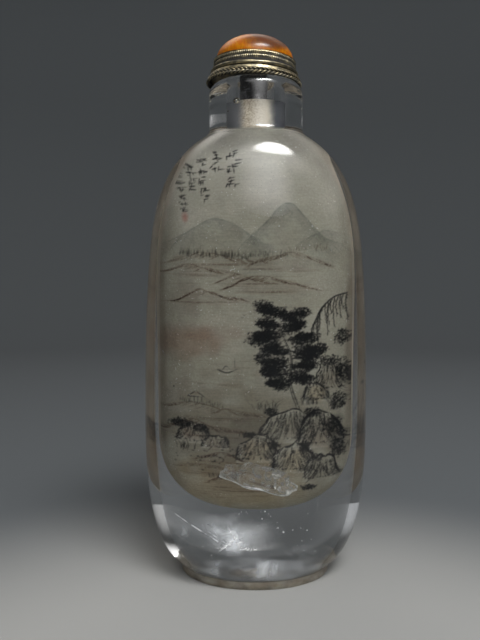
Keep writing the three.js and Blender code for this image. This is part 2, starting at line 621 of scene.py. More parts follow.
@dataclass
class PaintSheet:
    """A flat sheet of thin paint in millimetres, later wrapped round the hollow's wall."""

    seed: int
    half_width: float = 14.2
    low: float = 12.0
    high: float = 75.0
    pitch: float = 0.07
    tooth_grain: float = 0.16

    def __post_init__(self) -> None:
        """Lays out the bare sheet and draws its tooth."""
        self.across = np.arange(-self.half_width, self.half_width + self.pitch, self.pitch)
        self.up = np.arange(self.low, self.high + self.pitch, self.pitch)
        self.paint = np.ones((len(self.up), len(self.across), 3))
        self.random = np.random.default_rng(self.seed)
        self.tooth = self.clouds(self.tooth_grain)

    def clouds(self, grain: float) -> np.ndarray:
        """Soft random values from 0 to 1 over the sheet, with lumps of a size in millimetres."""
        rows, columns = self.paint.shape[:2]
        step = grain / self.pitch
        coarse = self.random.random((int(rows / step) + 3, int(columns / step) + 3))
        r, c = np.arange(rows) / step, np.arange(columns) / step
        r0, c0 = r.astype(int), c.astype(int)
        fr, fc = ((v - v.astype(int)) for v in (r, c))
        fr, fc = ((v * v * (3 - 2 * v)) for v in (fr[:, None], fc[None, :]))
        low = coarse[r0][:, c0] * (1 - fc) + coarse[r0][:, c0 + 1] * fc
        high = coarse[r0 + 1][:, c0] * (1 - fc) + coarse[r0 + 1][:, c0 + 1] * fc
        return low * (1 - fr) + high * fr

    @staticmethod
    def window(line: np.ndarray, values: np.ndarray, reach: float) -> slice:
        """The stretch of an axis within reach of some values."""
        first, last = np.searchsorted(line, [values.min() - reach, values.max() + reach])
        return slice(int(first), max(int(first), int(last)))

    def lay(self, rows: slice, columns: slice, cover: np.ndarray, pigment: Pigment) -> None:
        """Glazes part of the sheet with a pigment."""
        self.paint[rows, columns] *= 1 - cover[..., None] * (1 - np.array(pigment.value))

    def stroke(
        self,
        points: Line,
        width: float,
        pigment: Pigment = Pigment.INK,
        load: float = 1.0,
        dry: float = 0.0,
        ends: Range = (0.4, 0.1),
    ) -> None:
        """Draws one brush stroke.

        Args:
            points: The places it passes.
            width: Its half width where the brush presses most.
            pigment: Its paint.
            load: How much paint it leaves, from 0 to 1.
            dry: How far the sheet's tooth breaks it up.
            ends: Its width at its start and end, as shares of the middle.
        """
        path = flowing(points, self.pitch * 1.3)
        share = np.linspace(0, 1, len(path))
        swell, fade = ends[0] + share * 4, ends[1] + (1 - share) * 2
        press = width * np.minimum(1, swell) * np.minimum(1, fade)
        reach = width + 2 * self.pitch
        rows = self.window(self.up, path[:, 1], reach)
        columns = self.window(self.across, path[:, 0], reach)
        gap = np.full((rows.stop - rows.start, columns.stop - columns.start), reach)
        up, across = self.up[rows], self.across[columns]
        for (x, z), half in zip(path, press):
            r, c = self.window(up, np.array(z), reach), self.window(across, np.array(x), reach)
            tile = gap[r, c]
            np.minimum(tile, np.hypot(across[None, c] - x, up[r, None] - z) - half, out=tile)
        cover = np.clip(0.5 - gap / (1.6 * self.pitch), 0, 1) * load
        if dry:
            bare = np.clip((dry - self.tooth[rows, columns]) / 0.15 + 0.5, 0, 1)
            cover = cover * (1 - 0.75 * bare)
        self.lay(rows, columns, cover, pigment)

    def wash(
        self, x: float, z: float, across: float, high: float, pigment: Pigment, load: float,
        ragged: float = 0.3,
    ) -> None:
        """Floods a soft oval.

        Args:
            x: Its middle across.
            z: Its middle height.
            across: Its half width.
            high: Its half height.
            pigment: Its paint.
            load: How much paint it leaves, from 0 to 1.
            ragged: How uneven its edge is.
        """
        far = ((self.across[None, :] - x) / across) ** 2 + ((self.up[:, None] - z) / high) ** 2
        edge = np.clip(1.2 - far + ragged * (self.clouds(1.6) - 0.5) * 2, 0, 1)
        self.lay(slice(None), slice(None), load * edge**1.5, pigment)

    def hill(self, crest: Line, fade: float, pigment: Pigment, load: float, line: float) -> None:
        """Washes a slope that pales downwards from its crest, and draws the crest.

        Args:
            crest: Places along it from left to right.
            fade: The depth over which the wash pales.
            pigment: Its paint.
            load: How much paint the wash leaves just under the crest.
            line: How much more the crest line leaves.
        """
        path = flowing(crest, 0.3)
        top = np.interp(self.across, path[:, 0], path[:, 1], left=-99, right=-99)
        depth = top[None, :] - self.up[:, None]
        under, over = np.maximum(depth, 0) / fade, np.minimum(depth, 0) / 0.08
        cover = np.where(depth > 0, np.exp(-under), np.exp(over))
        from_left, from_right = (self.across - path[0, 0]) / 2, (path[-1, 0] - self.across) / 2
        ends = np.clip(from_left, 0, 1) * np.clip(from_right, 0, 1)
        cover = load * cover * ends[None, :] * (0.7 + 0.6 * self.clouds(0.9))
        self.lay(slice(None), slice(None), np.clip(cover, 0, 1), pigment)
        shaken = path[::3] + self.random.normal(0, 0.05, path[::3].shape)
        self.stroke(shaken, 0.10, pigment, line, 0.3, (0.3, 0.2))
        span = np.ptp(path[:, 0])
        for _ in range(int(span * 5)):
            start = path[self.random.integers(1, len(path) - 1)]
            start = start - (0, self.random.uniform(0, fade * 0.5))
            slope = 1 if self.random.random() < (start[0] - path[0, 0]) / span else -1
            run = self.random.uniform(0.3, 0.9) * fade
            end = start + (slope * run * 0.7, -run)
            middle = (start + end) / 2 + (slope * 0.08, 0)
            weight = line * self.random.uniform(0.2, 0.6)
            self.stroke([start, middle, end], THIN, pigment, weight, 0.35)

    def clear(self, path: np.ndarray, keep: float) -> None:
        """Wipes the inside of a closed path back towards the bare ground.

        Args:
            path: Its points, in order.
            keep: The share of the old paint that stays.
        """
        rows, columns = self.window(self.up, path[:, 1], 0), self.window(self.across, path[:, 0], 0)
        x, z = np.meshgrid(self.across[columns], self.up[rows])
        inside = np.zeros(x.shape, bool)
        for (x0, z0), (x1, z1) in zip(path, np.roll(path, -1, axis=0)):
            crosses = (z0 > z) != (z1 > z)
            with np.errstate(divide="ignore", invalid="ignore"):
                inside ^= crosses & (x < (x1 - x0) * (z - z0) / (z1 - z0) + x0)
        tile = self.paint[rows, columns]
        tile[inside] = 1 - keep * (1 - tile[inside])

    def sample(self, x: np.ndarray, z: np.ndarray) -> np.ndarray:
        """The paint at places on the sheet, blended between its points."""
        rows, columns = self.paint.shape[:2]
        r = np.clip((z - self.up[0]) / self.pitch, 0, rows - 1.001)
        c = np.clip((x - self.across[0]) / self.pitch, 0, columns - 1.001)
        r0, c0 = r.astype(int), c.astype(int)
        fr, fc = (r - r0)[:, None], (c - c0)[:, None]
        low = self.paint[r0, c0] * (1 - fc) + self.paint[r0, c0 + 1] * fc
        high = self.paint[r0 + 1, c0] * (1 - fc) + self.paint[r0 + 1, c0 + 1] * fc
        return low * (1 - fr) + high * fr


@dataclass
class Landscape:
    """A river view in ink: its motifs and where each one stands on the sheet."""

    sheet: PaintSheet

    def ticks(
        self, x: Range, z: Range, count: int, size: float, pigment: Pigment, load: float
    ) -> None:
        """Scatters short upright strokes that stand for far trees.

        Args:
            x: The stretch across that they fill.
            z: The height of their feet at either end of the stretch.
            count: How many there are.
            size: The tallest one's height.
            pigment: Their paint.
            load: How much paint each leaves.
        """
        draw = self.sheet.random
        for _ in range(count):
            share = draw.beta(1.3, 1.3)
            foot = z[0] + (z[1] - z[0]) * share + draw.normal(0, 0.22)
            at, tall = x[0] + (x[1] - x[0]) * share, size * draw.uniform(0.35, 1)
            lean = draw.normal(0, 0.08)
            self.sheet.stroke(
                [(at, foot), (at + lean, foot + tall)], FINE, pigment, load * draw.uniform(0.5, 1)
            )

    def ripples(self, x: Range, z: Range, count: int, load: float) -> None:
        """Draws faint level lines on the water."""
        draw = self.sheet.random
        for _ in range(count):
            at, level = draw.uniform(*x), draw.uniform(*z)
            half = draw.uniform(0.8, 3.0)
            rise = draw.normal(0, 0.05)
            self.sheet.stroke(
                [(at - half, level), (at, level + rise), (at + half, level)], HAIR, Pigment.UMBER,
                load, 0.35,
            )

    def bank(self, crest: Line, drop: float, folds: int, load: float) -> None:
        """Draws a low sandbank: a broken crest, slanting folds under it and a level waterline.

        Args:
            crest: Places along it from left to right.
            drop: How far its waterline lies under its ends.
            folds: How many slanting folds it has.
            load: How much paint its lines leave.
        """
        sheet, draw = self.sheet, self.sheet.random
        path = flowing(crest, 0.2)
        knots = np.arange(0, len(path) + 6, 6)
        shake = draw.normal(0, 0.10, len(path) // 6 + 2)[: len(knots)]
        path[:, 1] += np.interp(np.arange(len(path)), knots, shake)
        foot = min(path[0, 1], path[-1, 1]) - drop
        half = np.ptp(path[:, 0]) / 2.1
        sheet.wash(path[:, 0].mean(), foot + drop, half, 0.9 + drop, Pigment.UMBER, load * 0.22)
        sheet.stroke(path[::4], 0.08, Pigment.UMBER, load, 0.25)
        for _ in range(folds * 3):
            x, z = path[draw.integers(len(path))] - (0, draw.uniform(0, 0.5) * drop)
            slope = 0.5 if x < path[len(path) // 2, 0] else -0.5
            run = draw.uniform(0.5, 1.6)
            end = max(foot, z - run * 0.5)
            fold = [(x, z), (x - slope * run, (z + end) / 2), (x - slope * run * 2.4, end)]
            sheet.stroke(fold, THIN, Pigment.UMBER, load * draw.uniform(0.4, 0.9), 0.3)
        for _ in range(9):
            start, end = np.sort(draw.uniform(path[0, 0] - 1.0, path[-1, 0] + 1.0, 2))
            level = foot + draw.uniform(-0.25, 0.2)
            middle = ((start + end) / 2, level + draw.normal(0, 0.06))
            water = [(start, level), middle, (end, level)]
            sheet.stroke(water, FINE, Pigment.UMBER, load * draw.uniform(0.4, 0.8), 0.3)

    def boulder(
        self, x: float, z: float, across: float, high: float, load: float, tint: Pigment
    ) -> None:
        """Draws one rock: a cleared body with a tint, a thick and thin outline and hatched folds.

        Args:
            x: Its middle across.
            z: The height of its foot.
            across: Its half width.
            high: Its height.
            load: How much paint its lines leave.
            tint: The wash on its body.
        """
        sheet, draw = self.sheet, self.sheet.random
        angle = np.linspace(math.pi, 0, 13)
        size = draw.uniform(0.90, 1.07, 13)
        size[[0, -1]] = 1
        slant = draw.uniform(-0.3, 0.3) * across
        crest_x = x + across * size * np.cos(angle) + slant * np.sin(angle) ** 2
        crest_z = z + high * size * np.sin(angle) ** 0.8
        crest = np.stack([crest_x, crest_z], axis=1)
        under = [(x + across, z - 0.15 * high), (x - across, z - 0.15 * high)]
        body = np.concatenate([flowing(crest, 0.15), under])
        sheet.clear(body, 0.25)
        sheet.wash(x, z + high * 0.3, across * 0.85, high * 0.6, tint, 0.55, 0.5)
        for start in range(0, 12, 2):
            stop = min(13, start + draw.integers(3, 6))
            sheet.stroke(
                crest[start:stop], draw.uniform(0.10, 0.26), Pigment.INK, load, 0.18, (0.25, 0.15)
            )
        for _ in range(int(22 + across * high * 13)):
            t = draw.uniform(0.06, 0.94)
            top = np.array([np.interp(t * 12, range(13), crest[:, i]) for i in range(2)])
            inset = draw.uniform(0.02, 0.75) ** 1.4
            start = top + (np.array([x + slant * 0.5, z]) - top) * inset
            sweep = (t - 0.5) * 1.5 + draw.normal(0, 0.12)
            run = draw.uniform(0.16, 0.42) * high
            middle = start + np.array([sweep * run * 0.45, -run * 0.45])
            end = start + np.array([sweep * run * 1.3, -run])
            weight = load * draw.uniform(0.35, 1.0) * (1 - 0.5 * inset)
            sheet.stroke([start, middle, end], draw.uniform(0.05, 0.12), Pigment.INK, weight, 0.28)
        lee = x + (1 if draw.random() < 0.7 else -1) * across * 0.75
        sheet.wash(
            lee, z + high * 0.3, across * 0.3, high * 0.5, Pigment.GREY_INK, 0.65 * load, 1.0
        )
        for _ in range(int(across * 10)):
            at = x + draw.uniform(-1, 1) * across
            foot = (at, z + draw.normal(0, 0.08))
            tip = (at + draw.normal(0, 0.3), z + draw.uniform(0.1, 0.45))
            sheet.stroke([foot, tip], THIN, Pigment.INK, load * 0.9, 0.2)

    def clump(
        self, x: float, z: float, across: float, high: float, count: int, load: float
    ) -> None:
        """Dots a pad of leaves, denser along its underside and ragged round its edge.

        Args:
            x: Its middle across.
            z: Its middle height.
            across: Its half width.
            high: Its half height.
            count: How many leaves it has.
            load: How much paint each leaves.
        """
        draw = self.sheet.random
        self.sheet.wash(x, z - 0.1 * high, across * 0.9, high * 0.85, Pigment.INK, 0.55 * load, 0.7)
        for _ in range(count):
            angle = draw.uniform(0, math.tau)
            far = math.sqrt(draw.uniform(0, 1)) * draw.uniform(0.75, 1.15)
            at = np.array([x + across * far * math.cos(angle), z + high * far * math.sin(angle)])
            tip = at + np.array([draw.normal(0, 0.16), draw.uniform(-0.30, 0.08)])
            self.sheet.stroke(
                [at, tip], draw.uniform(0.07, 0.12), Pigment.INK, load * draw.uniform(0.6, 1), 0.12,
                (0.8, 0.3),
            )

    def tree(self, foot: Range, head: Range, boughs: int, spread: float, load: float) -> None:
        """Grows a leaning tree whose boughs carry pads of leaves in a broad crown.

        Args:
            foot: Where its trunk starts.
            head: Where its trunk ends.
            boughs: How many boughs it has.
            spread: How far its widest boughs reach.
            load: How much paint its leaves take.
        """
        sheet, draw = self.sheet, self.sheet.random
        foot, head = np.array(foot, float), np.array(head, float)
        rise = head - foot
        side = np.array([-rise[1], rise[0]]) / np.hypot(*rise)
        bends = ((0, 0), (0.3, 0.55), (0.55, -0.35), (0.8, 0.3), (1, 0))
        knots = [foot + rise * share + side * bend for share, bend in bends]
        trunk = flowing(knots, 0.15)
        for index in range(boughs):
            t = 0.30 + 0.66 * index / (boughs - 1)
            start = trunk[min(len(trunk) - 1, int(t * len(trunk)))]
            hand = 1 if index % 2 else -1
            reach = spread * math.sin(math.pi * (1.02 - 0.86 * t)) * hand * draw.uniform(0.7, 1.15)
            tip = start + np.array([reach, abs(reach) * draw.uniform(-0.05, 0.40)])
            elbow = (start + tip) / 2 + np.array([0, -abs(reach) * draw.uniform(0.0, 0.2)])
            sheet.stroke([start, elbow, tip], 0.15, Pigment.INK, 0.9, 0.1)
            for share in (0.45, 0.75, 1.0):
                at = start + (tip - start) * share + draw.normal(0, 0.25, 2)
                size = spread * draw.uniform(0.22, 0.38)
                self.clump(
                    at[0], at[1] + 0.25, size, size * draw.uniform(0.45, 0.75), int(120 * size),
                    load,
                )
            for _ in range(6):
                twig = start + (tip - start) * draw.uniform(0.2, 0.9)
                sheet.stroke([twig, twig + draw.normal(0, 0.6, 2)], FINE, Pigment.INK, 0.8)
        self.clump(head[0], head[1] + 0.3, spread * 0.26, spread * 0.2, int(spread * 26), load)
        for offset, weight in ((-0.2, 0.9), (0.2, 0.8)):
            shifted = trunk + side * offset * np.linspace(1, 0.2, len(trunk))[:, None]
            sheet.stroke(shifted[::5], 0.10, Pigment.INK, weight, 0.15)
        for _ in range(16):
            at = trunk[draw.integers(0, int(len(trunk) * 0.8))] + side * draw.uniform(-0.16, 0.16)
            sheet.stroke(
                [at, at + side * draw.normal(0, 0.12) + rise * 0.03], HAIR, Pigment.INK, 0.8
            )

    def willow(self, top: Line, strands: int, drop: float, load: float) -> None:
        """Hangs long drooping strands with small leaves from a bough.

        Args:
            top: Places along the bough.
            strands: How many strands hang from it.
            drop: The longest strand's length.
            load: How much paint they take.
        """
        sheet, draw = self.sheet, self.sheet.random
        bough = flowing(top, 0.2)
        sheet.stroke(bough[::4], 0.14, Pigment.INK, 0.95, 0.1, (0.9, 0.2))
        for index in range(strands):
            start = bough[int((index + 0.5) / strands * len(bough)) - 1]
            fall = drop * draw.uniform(0.4, 1)
            sway = draw.normal(-0.25, 0.25)
            strand = flowing(
                [start, start + (sway * 0.7 - 0.2, -fall * 0.4), start + (sway, -fall)], 0.16
            )
            sheet.stroke(strand[::3], HAIR, Pigment.INK, load * 0.8)
            for at in strand[1:]:
                leaf = at + np.array([draw.normal(0, 0.16), -draw.uniform(0.16, 0.4)])
                sheet.stroke([at, leaf], 0.075, Pigment.INK, load * draw.uniform(0.5, 1), 0.1)

    def grass(
        self, x: float, z: float, count: int, tall: float, spread: float, load: float
    ) -> None:
        """Fans a tuft of blades out from one place."""
        draw = self.sheet.random
        for _ in range(count):
            lean = draw.normal(0, 0.45)
            size = tall * draw.uniform(0.5, 1)
            foot = np.array([x + draw.normal(0, spread), z + draw.normal(0, 0.1)])
            self.sheet.stroke(
                [foot, foot + (lean * size * 0.3, size * 0.6), foot + (lean * size, size)], FINE,
                Pigment.INK, load * draw.uniform(0.6, 1), 0.1, (0.8, 0.1),
            )

    def hut(self, x: float, z: float, size: float) -> None:
        """Draws a thatched shelter on posts."""
        sheet = self.sheet
        roof = [(x - size, z + size), (x - size * 0.4, z + size * 1.45), (x, z + size * 1.8)]
        mirrored = [(2 * x - a, b) for a, b in roof]
        sheet.clear(np.array(roof + mirrored[::-1]), 0.2)
        for line in (roof, mirrored, [roof[0], mirrored[0]]):
            sheet.stroke(line, 0.09, Pigment.INK, 0.85, 0.15)
        for share in np.linspace(-0.75, 0.75, 9):
            sheet.stroke(
                [(x + share * size * 0.3, z + size * 1.6), (x + share * size, z + size * 1.05)],
                HAIR, Pigment.UMBER, 0.8, 0.2,
            )
        for share in (-0.7, -0.2, 0.25, 0.7):
            sheet.stroke(
                [(x + share * size, z + size), (x + share * size, z)], FINE, Pigment.INK, 0.8
            )
        sheet.stroke(
            [(x - size * 0.8, z + size * 0.3), (x + size * 0.8, z + size * 0.3)], HAIR, Pigment.INK,
            0.6,
        )

    def boat(self, x: float, z: float, size: float) -> None:
        """Draws a low boat with a mat awning."""
        sheet = self.sheet
        sheet.stroke(
            [(x - size, z + size * 0.28), (x, z - size * 0.06), (x + size * 1.1, z + size * 0.34)],
            0.13, Pigment.INK, 0.9, 0.1,
        )
        sheet.stroke(
            [(x - size, z + size * 0.3), (x + size * 1.1, z + size * 0.36)], HAIR, Pigment.INK, 0.7
        )
        sheet.stroke(
            [
                (x - size * 0.45, z + size * 0.25), (x - size * 0.1, z + size * 0.62),
                (x + size * 0.4, z + size * 0.28),
            ],
            0.10, Pigment.GREY_INK, 0.9,
        )
        sheet.stroke(
            [(x + size * 0.85, z + size * 0.3), (x + size * 0.75, z + size * 1.7)], HAIR,
            Pigment.INK, 0.7,
        )

    def birds(self, x: float, z: float, count: int) -> None:
        """Scatters a slanting flight of birds."""
        draw = self.sheet.random
        for index in range(count):
            at = np.array(
                [x + index * 0.62 + draw.normal(0, 0.15), z + index * 0.3 + draw.normal(0, 0.2)]
            )
            wing = draw.uniform(0.2, 0.32)
            self.sheet.stroke(
                [at + (-wing, wing * 0.5), at, at + (wing, wing * 0.6)], 0.055, Pigment.INK, 0.75
            )

    def strokes_column(self, x: float, top: float, marks: int, size: float, load: float) -> None:
        """Stacks meaningless little strokes in a column, where writing would stand.

        Args:
            x: The column's middle.
            top: Where it starts.
            marks: How many groups of strokes it has.
            size: A group's width.
            load: How much paint they leave.
        """
        draw = self.sheet.random
        for index in range(marks):
            z = top - index * size * 1.25
            for _ in range(draw.integers(8, 12)):
                start = np.array([x, z]) + draw.uniform(-0.46, 0.42, 2) * size
                if draw.random() < 0.55:
                    run = np.array([draw.uniform(0.3, 0.7), draw.normal(0.08, 0.05)])
                else:
                    run = np.array([draw.normal(-0.08, 0.12), -draw.uniform(0.3, 0.6)])
                mark = [start, start + run * size * 0.5, start + run * size]
                self.sheet.stroke(
                    mark, 0.06 + 0.03 * size, Pigment.INK, load * draw.uniform(0.7, 1), 0.1,
                    (0.9, 0.2),
                )

    def seal(self, x: float, z: float, across: float, high: float) -> None:
        """Presses a plain red blot."""
        self.sheet.wash(x, z, across, high, Pigment.SEAL, 0.55, 0.4)
        self.sheet.wash(x, z, across * 0.7, high * 0.75, Pigment.SEAL, 0.35, 1.2)

    def front(self) -> None:
        """Paints the main face, from far to near."""
        self.ground_washes()
        self.far_shore()
        self.inscription()
        self.river()
        self.grove()
        self.near_rocks()
        self.margins()

    def ground_washes(self) -> None:
        """Floods the sky and the ground with thin colour; the broad shade washes darken the lower
        half, partly as the picture's tone and partly as painted shade.
        """
        sheet = self.sheet
        sheet.wash(-10.8, 40.8, 6.6, 3.3, Pigment.RUST, 0.72)
        sheet.wash(-6.5, 42.3, 6.0, 1.6, Pigment.RUST, 0.40)
        # These two shade washes darken the lower half: partly the picture's tone, partly painted
        # shade.
        sheet.wash(0.0, 26.5, 18.0, 10.5, Pigment.SHADE, 0.76)
        sheet.wash(-2.0, 26.5, 11.0, 3.2, Pigment.SHADE, 0.55)
        sheet.wash(-4.0, 17.5, 13.0, 5.5, Pigment.TAN, 0.8)
        sheet.wash(6.0, 15.5, 9.0, 2.6, Pigment.OLIVE, 0.35)

    def far_shore(self) -> None:
        """Draws the misty hills and the sandbanks under them."""
        sheet = self.sheet
        sheet.hill(
            [(-13.5, 56.5), (-10, 58.6), (-6.5, 60.4), (-3, 59.2), (0.5, 56.8), (3, 55.9)], 2.6,
            Pigment.MIST, 0.75, 0.65,
        )
        sheet.hill(
            [
                (-2.5, 56.2), (1.0, 59.4), (3.6, 62.3), (5.4, 62.6), (7.4, 60.4), (10.0, 57.6),
                (13, 56.4),
            ],
            3.2, Pigment.MIST, 0.9, 0.8,
        )
        sheet.hill(
            [(5.5, 56.0), (8.4, 57.8), (10.6, 58.6), (13.4, 57.8)], 1.8, Pigment.MIST, 0.55, 0.5
        )
        self.ticks((-11.5, -1.5), (54.9, 54.2), 150, 1.1, Pigment.GREY_INK, 0.9)
        self.ticks((-3.5, 5.5), (54.1, 54.9), 70, 0.9, Pigment.GREY_INK, 0.75)
        self.ticks((4.5, 11.5), (55.4, 55.9), 36, 0.7, Pigment.UMBER, 0.8)
        self.bank([(-12.2, 54.4), (-8.0, 55.0), (-3.0, 54.2), (1.5, 54.0)], 0.9, 26, 0.75)
        self.bank([(-1.0, 53.2), (2.5, 54.6), (6.5, 54.9), (11.0, 53.4)], 0.7, 26, 0.8)
        self.bank([(-12.8, 52.6), (-10.4, 53.3), (-6.8, 52.4), (-3.4, 52.2)], 0.5, 22, 0.8)
        self.bank([(-6.0, 50.6), (-3.0, 51.6), (-0.4, 50.9), (2.4, 50.4)], 0.4, 16, 0.7)
        self.bank(
            [(-4.5, 49.6), (-1.0, 51.3), (2.5, 51.0), (6.5, 50.2), (8.5, 49.6)], 0.5, 30, 0.95
        )
        self.bank([(-11.8, 47.7), (-9.0, 49.3), (-6.5, 48.6), (-2.5, 48.0)], 0.4, 24, 1.0)
        self.ripples((-11, 10), (45.5, 53.5), 34, 0.45)
        self.ripples((-11, 2), (33.0, 38.0), 22, 0.5)
        self.birds(-2.2, 44.8, 6)

    def inscription(self) -> None:
        """Sets five columns of strokes and a seal where writing would stand."""
        self.strokes_column(-3.7, 69.9, 3, 1.5, 1.0)
        self.strokes_column(-5.9, 69.9, 2, 1.3, 0.95)
        self.strokes_column(-7.9, 68.9, 5, 1.05, 0.95)
        self.strokes_column(-9.4, 68.3, 4, 0.85, 0.85)
        self.strokes_column(-10.7, 66.9, 6, 0.8, 0.8)
        self.seal(-10.6, 60.7, 0.62, 1.15)

    def river(self) -> None:
        """Draws the boat, the hut and the shore that it stands on."""
        self.boat(-4.6, 36.2, 1.5)
        self.ticks((-11.8, -5.0), (31.2, 30.6), 46, 0.8, Pigment.GREY_INK, 0.9)
        self.hut(-9.3, 30.8, 1.25)
        self.bank(
            [(-12.6, 30.6), (-9.5, 31.0), (-6.0, 30.4), (-1.5, 29.7), (2.5, 29.4)], 0.8, 20, 0.95
        )

    def grove(self) -> None:
        """Grows the willow, the tall tree and what stands round them."""
        self.willow([(13.3, 48.6), (11.6, 48.0), (9.8, 46.2), (8.6, 43.8)], 17, 5.4, 0.95)
        self.boulder(11.6, 33.2, 2.6, 4.6, 0.95, Pigment.UMBER)
        self.boulder(9.2, 31.6, 1.9, 2.6, 0.9, Pigment.TAN)
        self.clump(11.0, 37.9, 1.9, 0.8, 110, 0.95)
        self.tree((6.6, 29.6), (3.6, 45.6), 15, 4.5, 1.0)
        self.grass(1.5, 30.2, 26, 1.9, 1.0, 0.8)
        self.grass(8.3, 30.9, 26, 1.7, 0.8, 0.9)

    def near_rocks(self) -> None:
        """Piles up the rocks on the near shore."""
        self.boulder(-9.6, 24.8, 2.6, 2.9, 0.85, Pigment.RUST)
        self.boulder(-6.4, 24.0, 2.1, 1.9, 0.85, Pigment.UMBER)
        self.boulder(4.4, 25.4, 4.0, 4.6, 0.95, Pigment.SHADE)
        self.boulder(9.8, 24.4, 3.4, 5.4, 1.0, Pigment.UMBER)
        self.boulder(0.0, 22.2, 3.2, 4.0, 0.95, Pigment.TAN)
        self.boulder(5.6, 20.4, 3.3, 4.2, 1.0, Pigment.TAN)
        self.boulder(10.0, 18.6, 2.5, 4.0, 1.0, Pigment.SHADE)
        self.clump(11.2, 27.4, 1.7, 1.3, 120, 1.0)
        self.clump(9.4, 22.2, 0.9, 0.6, 50, 0.95)
        self.grass(-11.0, 23.4, 20, 1.5, 0.7, 0.9)
        self.scrub()
        self.grass(7.6, 20.0, 24, 1.3, 1.1, 0.9)
        self.bank([(-7.0, 18.6), (-4.0, 19.6), (-0.5, 18.8), (3.0, 17.6)], 0.8, 20, 0.9)
        self.grass(-5.0, 18.9, 20, 1.2, 1.3, 0.9)
        self.ripples((-8, 9), (15.2, 18.6), 26, 0.6)

    def margins(self) -> None:
        """Darkens both edges of the sheet."""
        for x, load in ((-13.9, 0.45), (13.9, 0.55)):
            self.sheet.wash(x, 44.0, 0.7, 34.0, Pigment.UMBER, load)

    def scrub(self) -> None:
        """Fills the near ground between the rocks with brush, shore lines and pebbles."""
        sheet, draw = self.sheet, self.sheet.random
        for x, z, across, high in (
            (-11.6, 27.6, 1.5, 0.8), (-8.6, 27.0, 1.2, 0.6), (2.2, 29.9, 1.1, 0.6),
            (8.6, 29.6, 1.5, 0.8), (12.4, 31.0, 1.2, 1.5), (12.9, 36.4, 0.9, 1.8),
            (12.8, 41.6, 1.0, 1.4), (2.6, 24.6, 0.9, 0.7), (7.4, 24.2, 0.8, 0.9),
            (12.4, 23.2, 1.0, 1.6), (8.0, 17.2, 1.3, 0.5), (-1.2, 26.2, 1.2, 0.5),
        ):
            self.clump(x, z, across, high, int(60 * across * (high + 0.6)), 0.9)
            self.grass(x, z - high * 0.8, 14, high * 1.6, across * 0.5, 0.85)
        self.bank([(-13.2, 26.6), (-10.0, 28.4), (-7.0, 27.4), (-2.0, 27.0)], 0.7, 30, 0.95)
        self.bank([(-8.6, 22.4), (-5.5, 23.2), (-2.6, 22.2)], 0.5, 22, 0.9)
        self.bank([(-11.6, 20.6), (-8.0, 21.2), (-4.0, 20.4), (-1.0, 20.0)], 0.5, 22, 0.7)
        for _ in range(70):
            at = np.array([draw.normal(-5.0, 3.4), draw.normal(22.4, 1.5)])
            sheet.stroke(
                [at, at + (draw.uniform(0.08, 0.35), draw.normal(0, 0.05))],
                draw.uniform(0.06, 0.14), Pigment.INK, draw.uniform(0.4, 0.95), 0.1, (0.9, 0.6),
            )

    def back(self) -> None:
        """Paints the hidden face: a few reeds, a far shore and birds."""
        sheet = self.sheet
        sheet.wash(2.0, 20.0, 14.0, 6.0, Pigment.TAN, 0.5)
        sheet.wash(8.0, 40.0, 7.0, 3.0, Pigment.RUST, 0.4)
        sheet.hill(
            [(-13, 53.0), (-8, 55.6), (-3, 54.2), (3, 56.8), (8, 54.4), (13, 53.6)], 2.8,
            Pigment.MIST, 0.8, 0.6,
        )
        self.bank([(-10.0, 49.0), (-5.0, 50.2), (1.0, 49.2), (6.0, 48.8)], 0.6, 24, 0.8)
        self.ticks((-9.0, 5.0), (50.2, 49.4), 90, 0.9, Pigment.GREY_INK, 0.8)
        self.ripples((-10, 10), (40.0, 47.0), 30, 0.45)
        self.birds(-1.0, 60.0, 7)
        for x, tall in ((-8.0, 9.0), (-6.6, 12.5), (-5.2, 7.5), (-3.6, 10.0)):
            sheet.stroke(
                [(x, 22.0), (x + 0.8, 22.0 + tall * 0.5), (x + 2.4, 22.0 + tall)], 0.09,
                Pigment.INK, 0.9,
            )
            self.clump(x + 2.4, 22.3 + tall, 0.7, 0.4, 40, 0.8)
        self.grass(-6.0, 21.5, 60, 5.0, 1.8, 0.85)
        self.boulder(-6.0, 20.0, 4.0, 2.6, 0.9, Pigment.UMBER)
        self.boulder(4.0, 21.0, 5.0, 3.6, 0.9, Pigment.TAN)
        self.ripples((-6, 10), (16.0, 20.0), 24, 0.6)


# ---------------------------------------------------------------------------
# Painting on the hollow's wall
# ---------------------------------------------------------------------------


class Face(Enum):
    """The two broad faces of the hollow, by the sign of their Y."""

    FRONT = -1
    BACK = 1


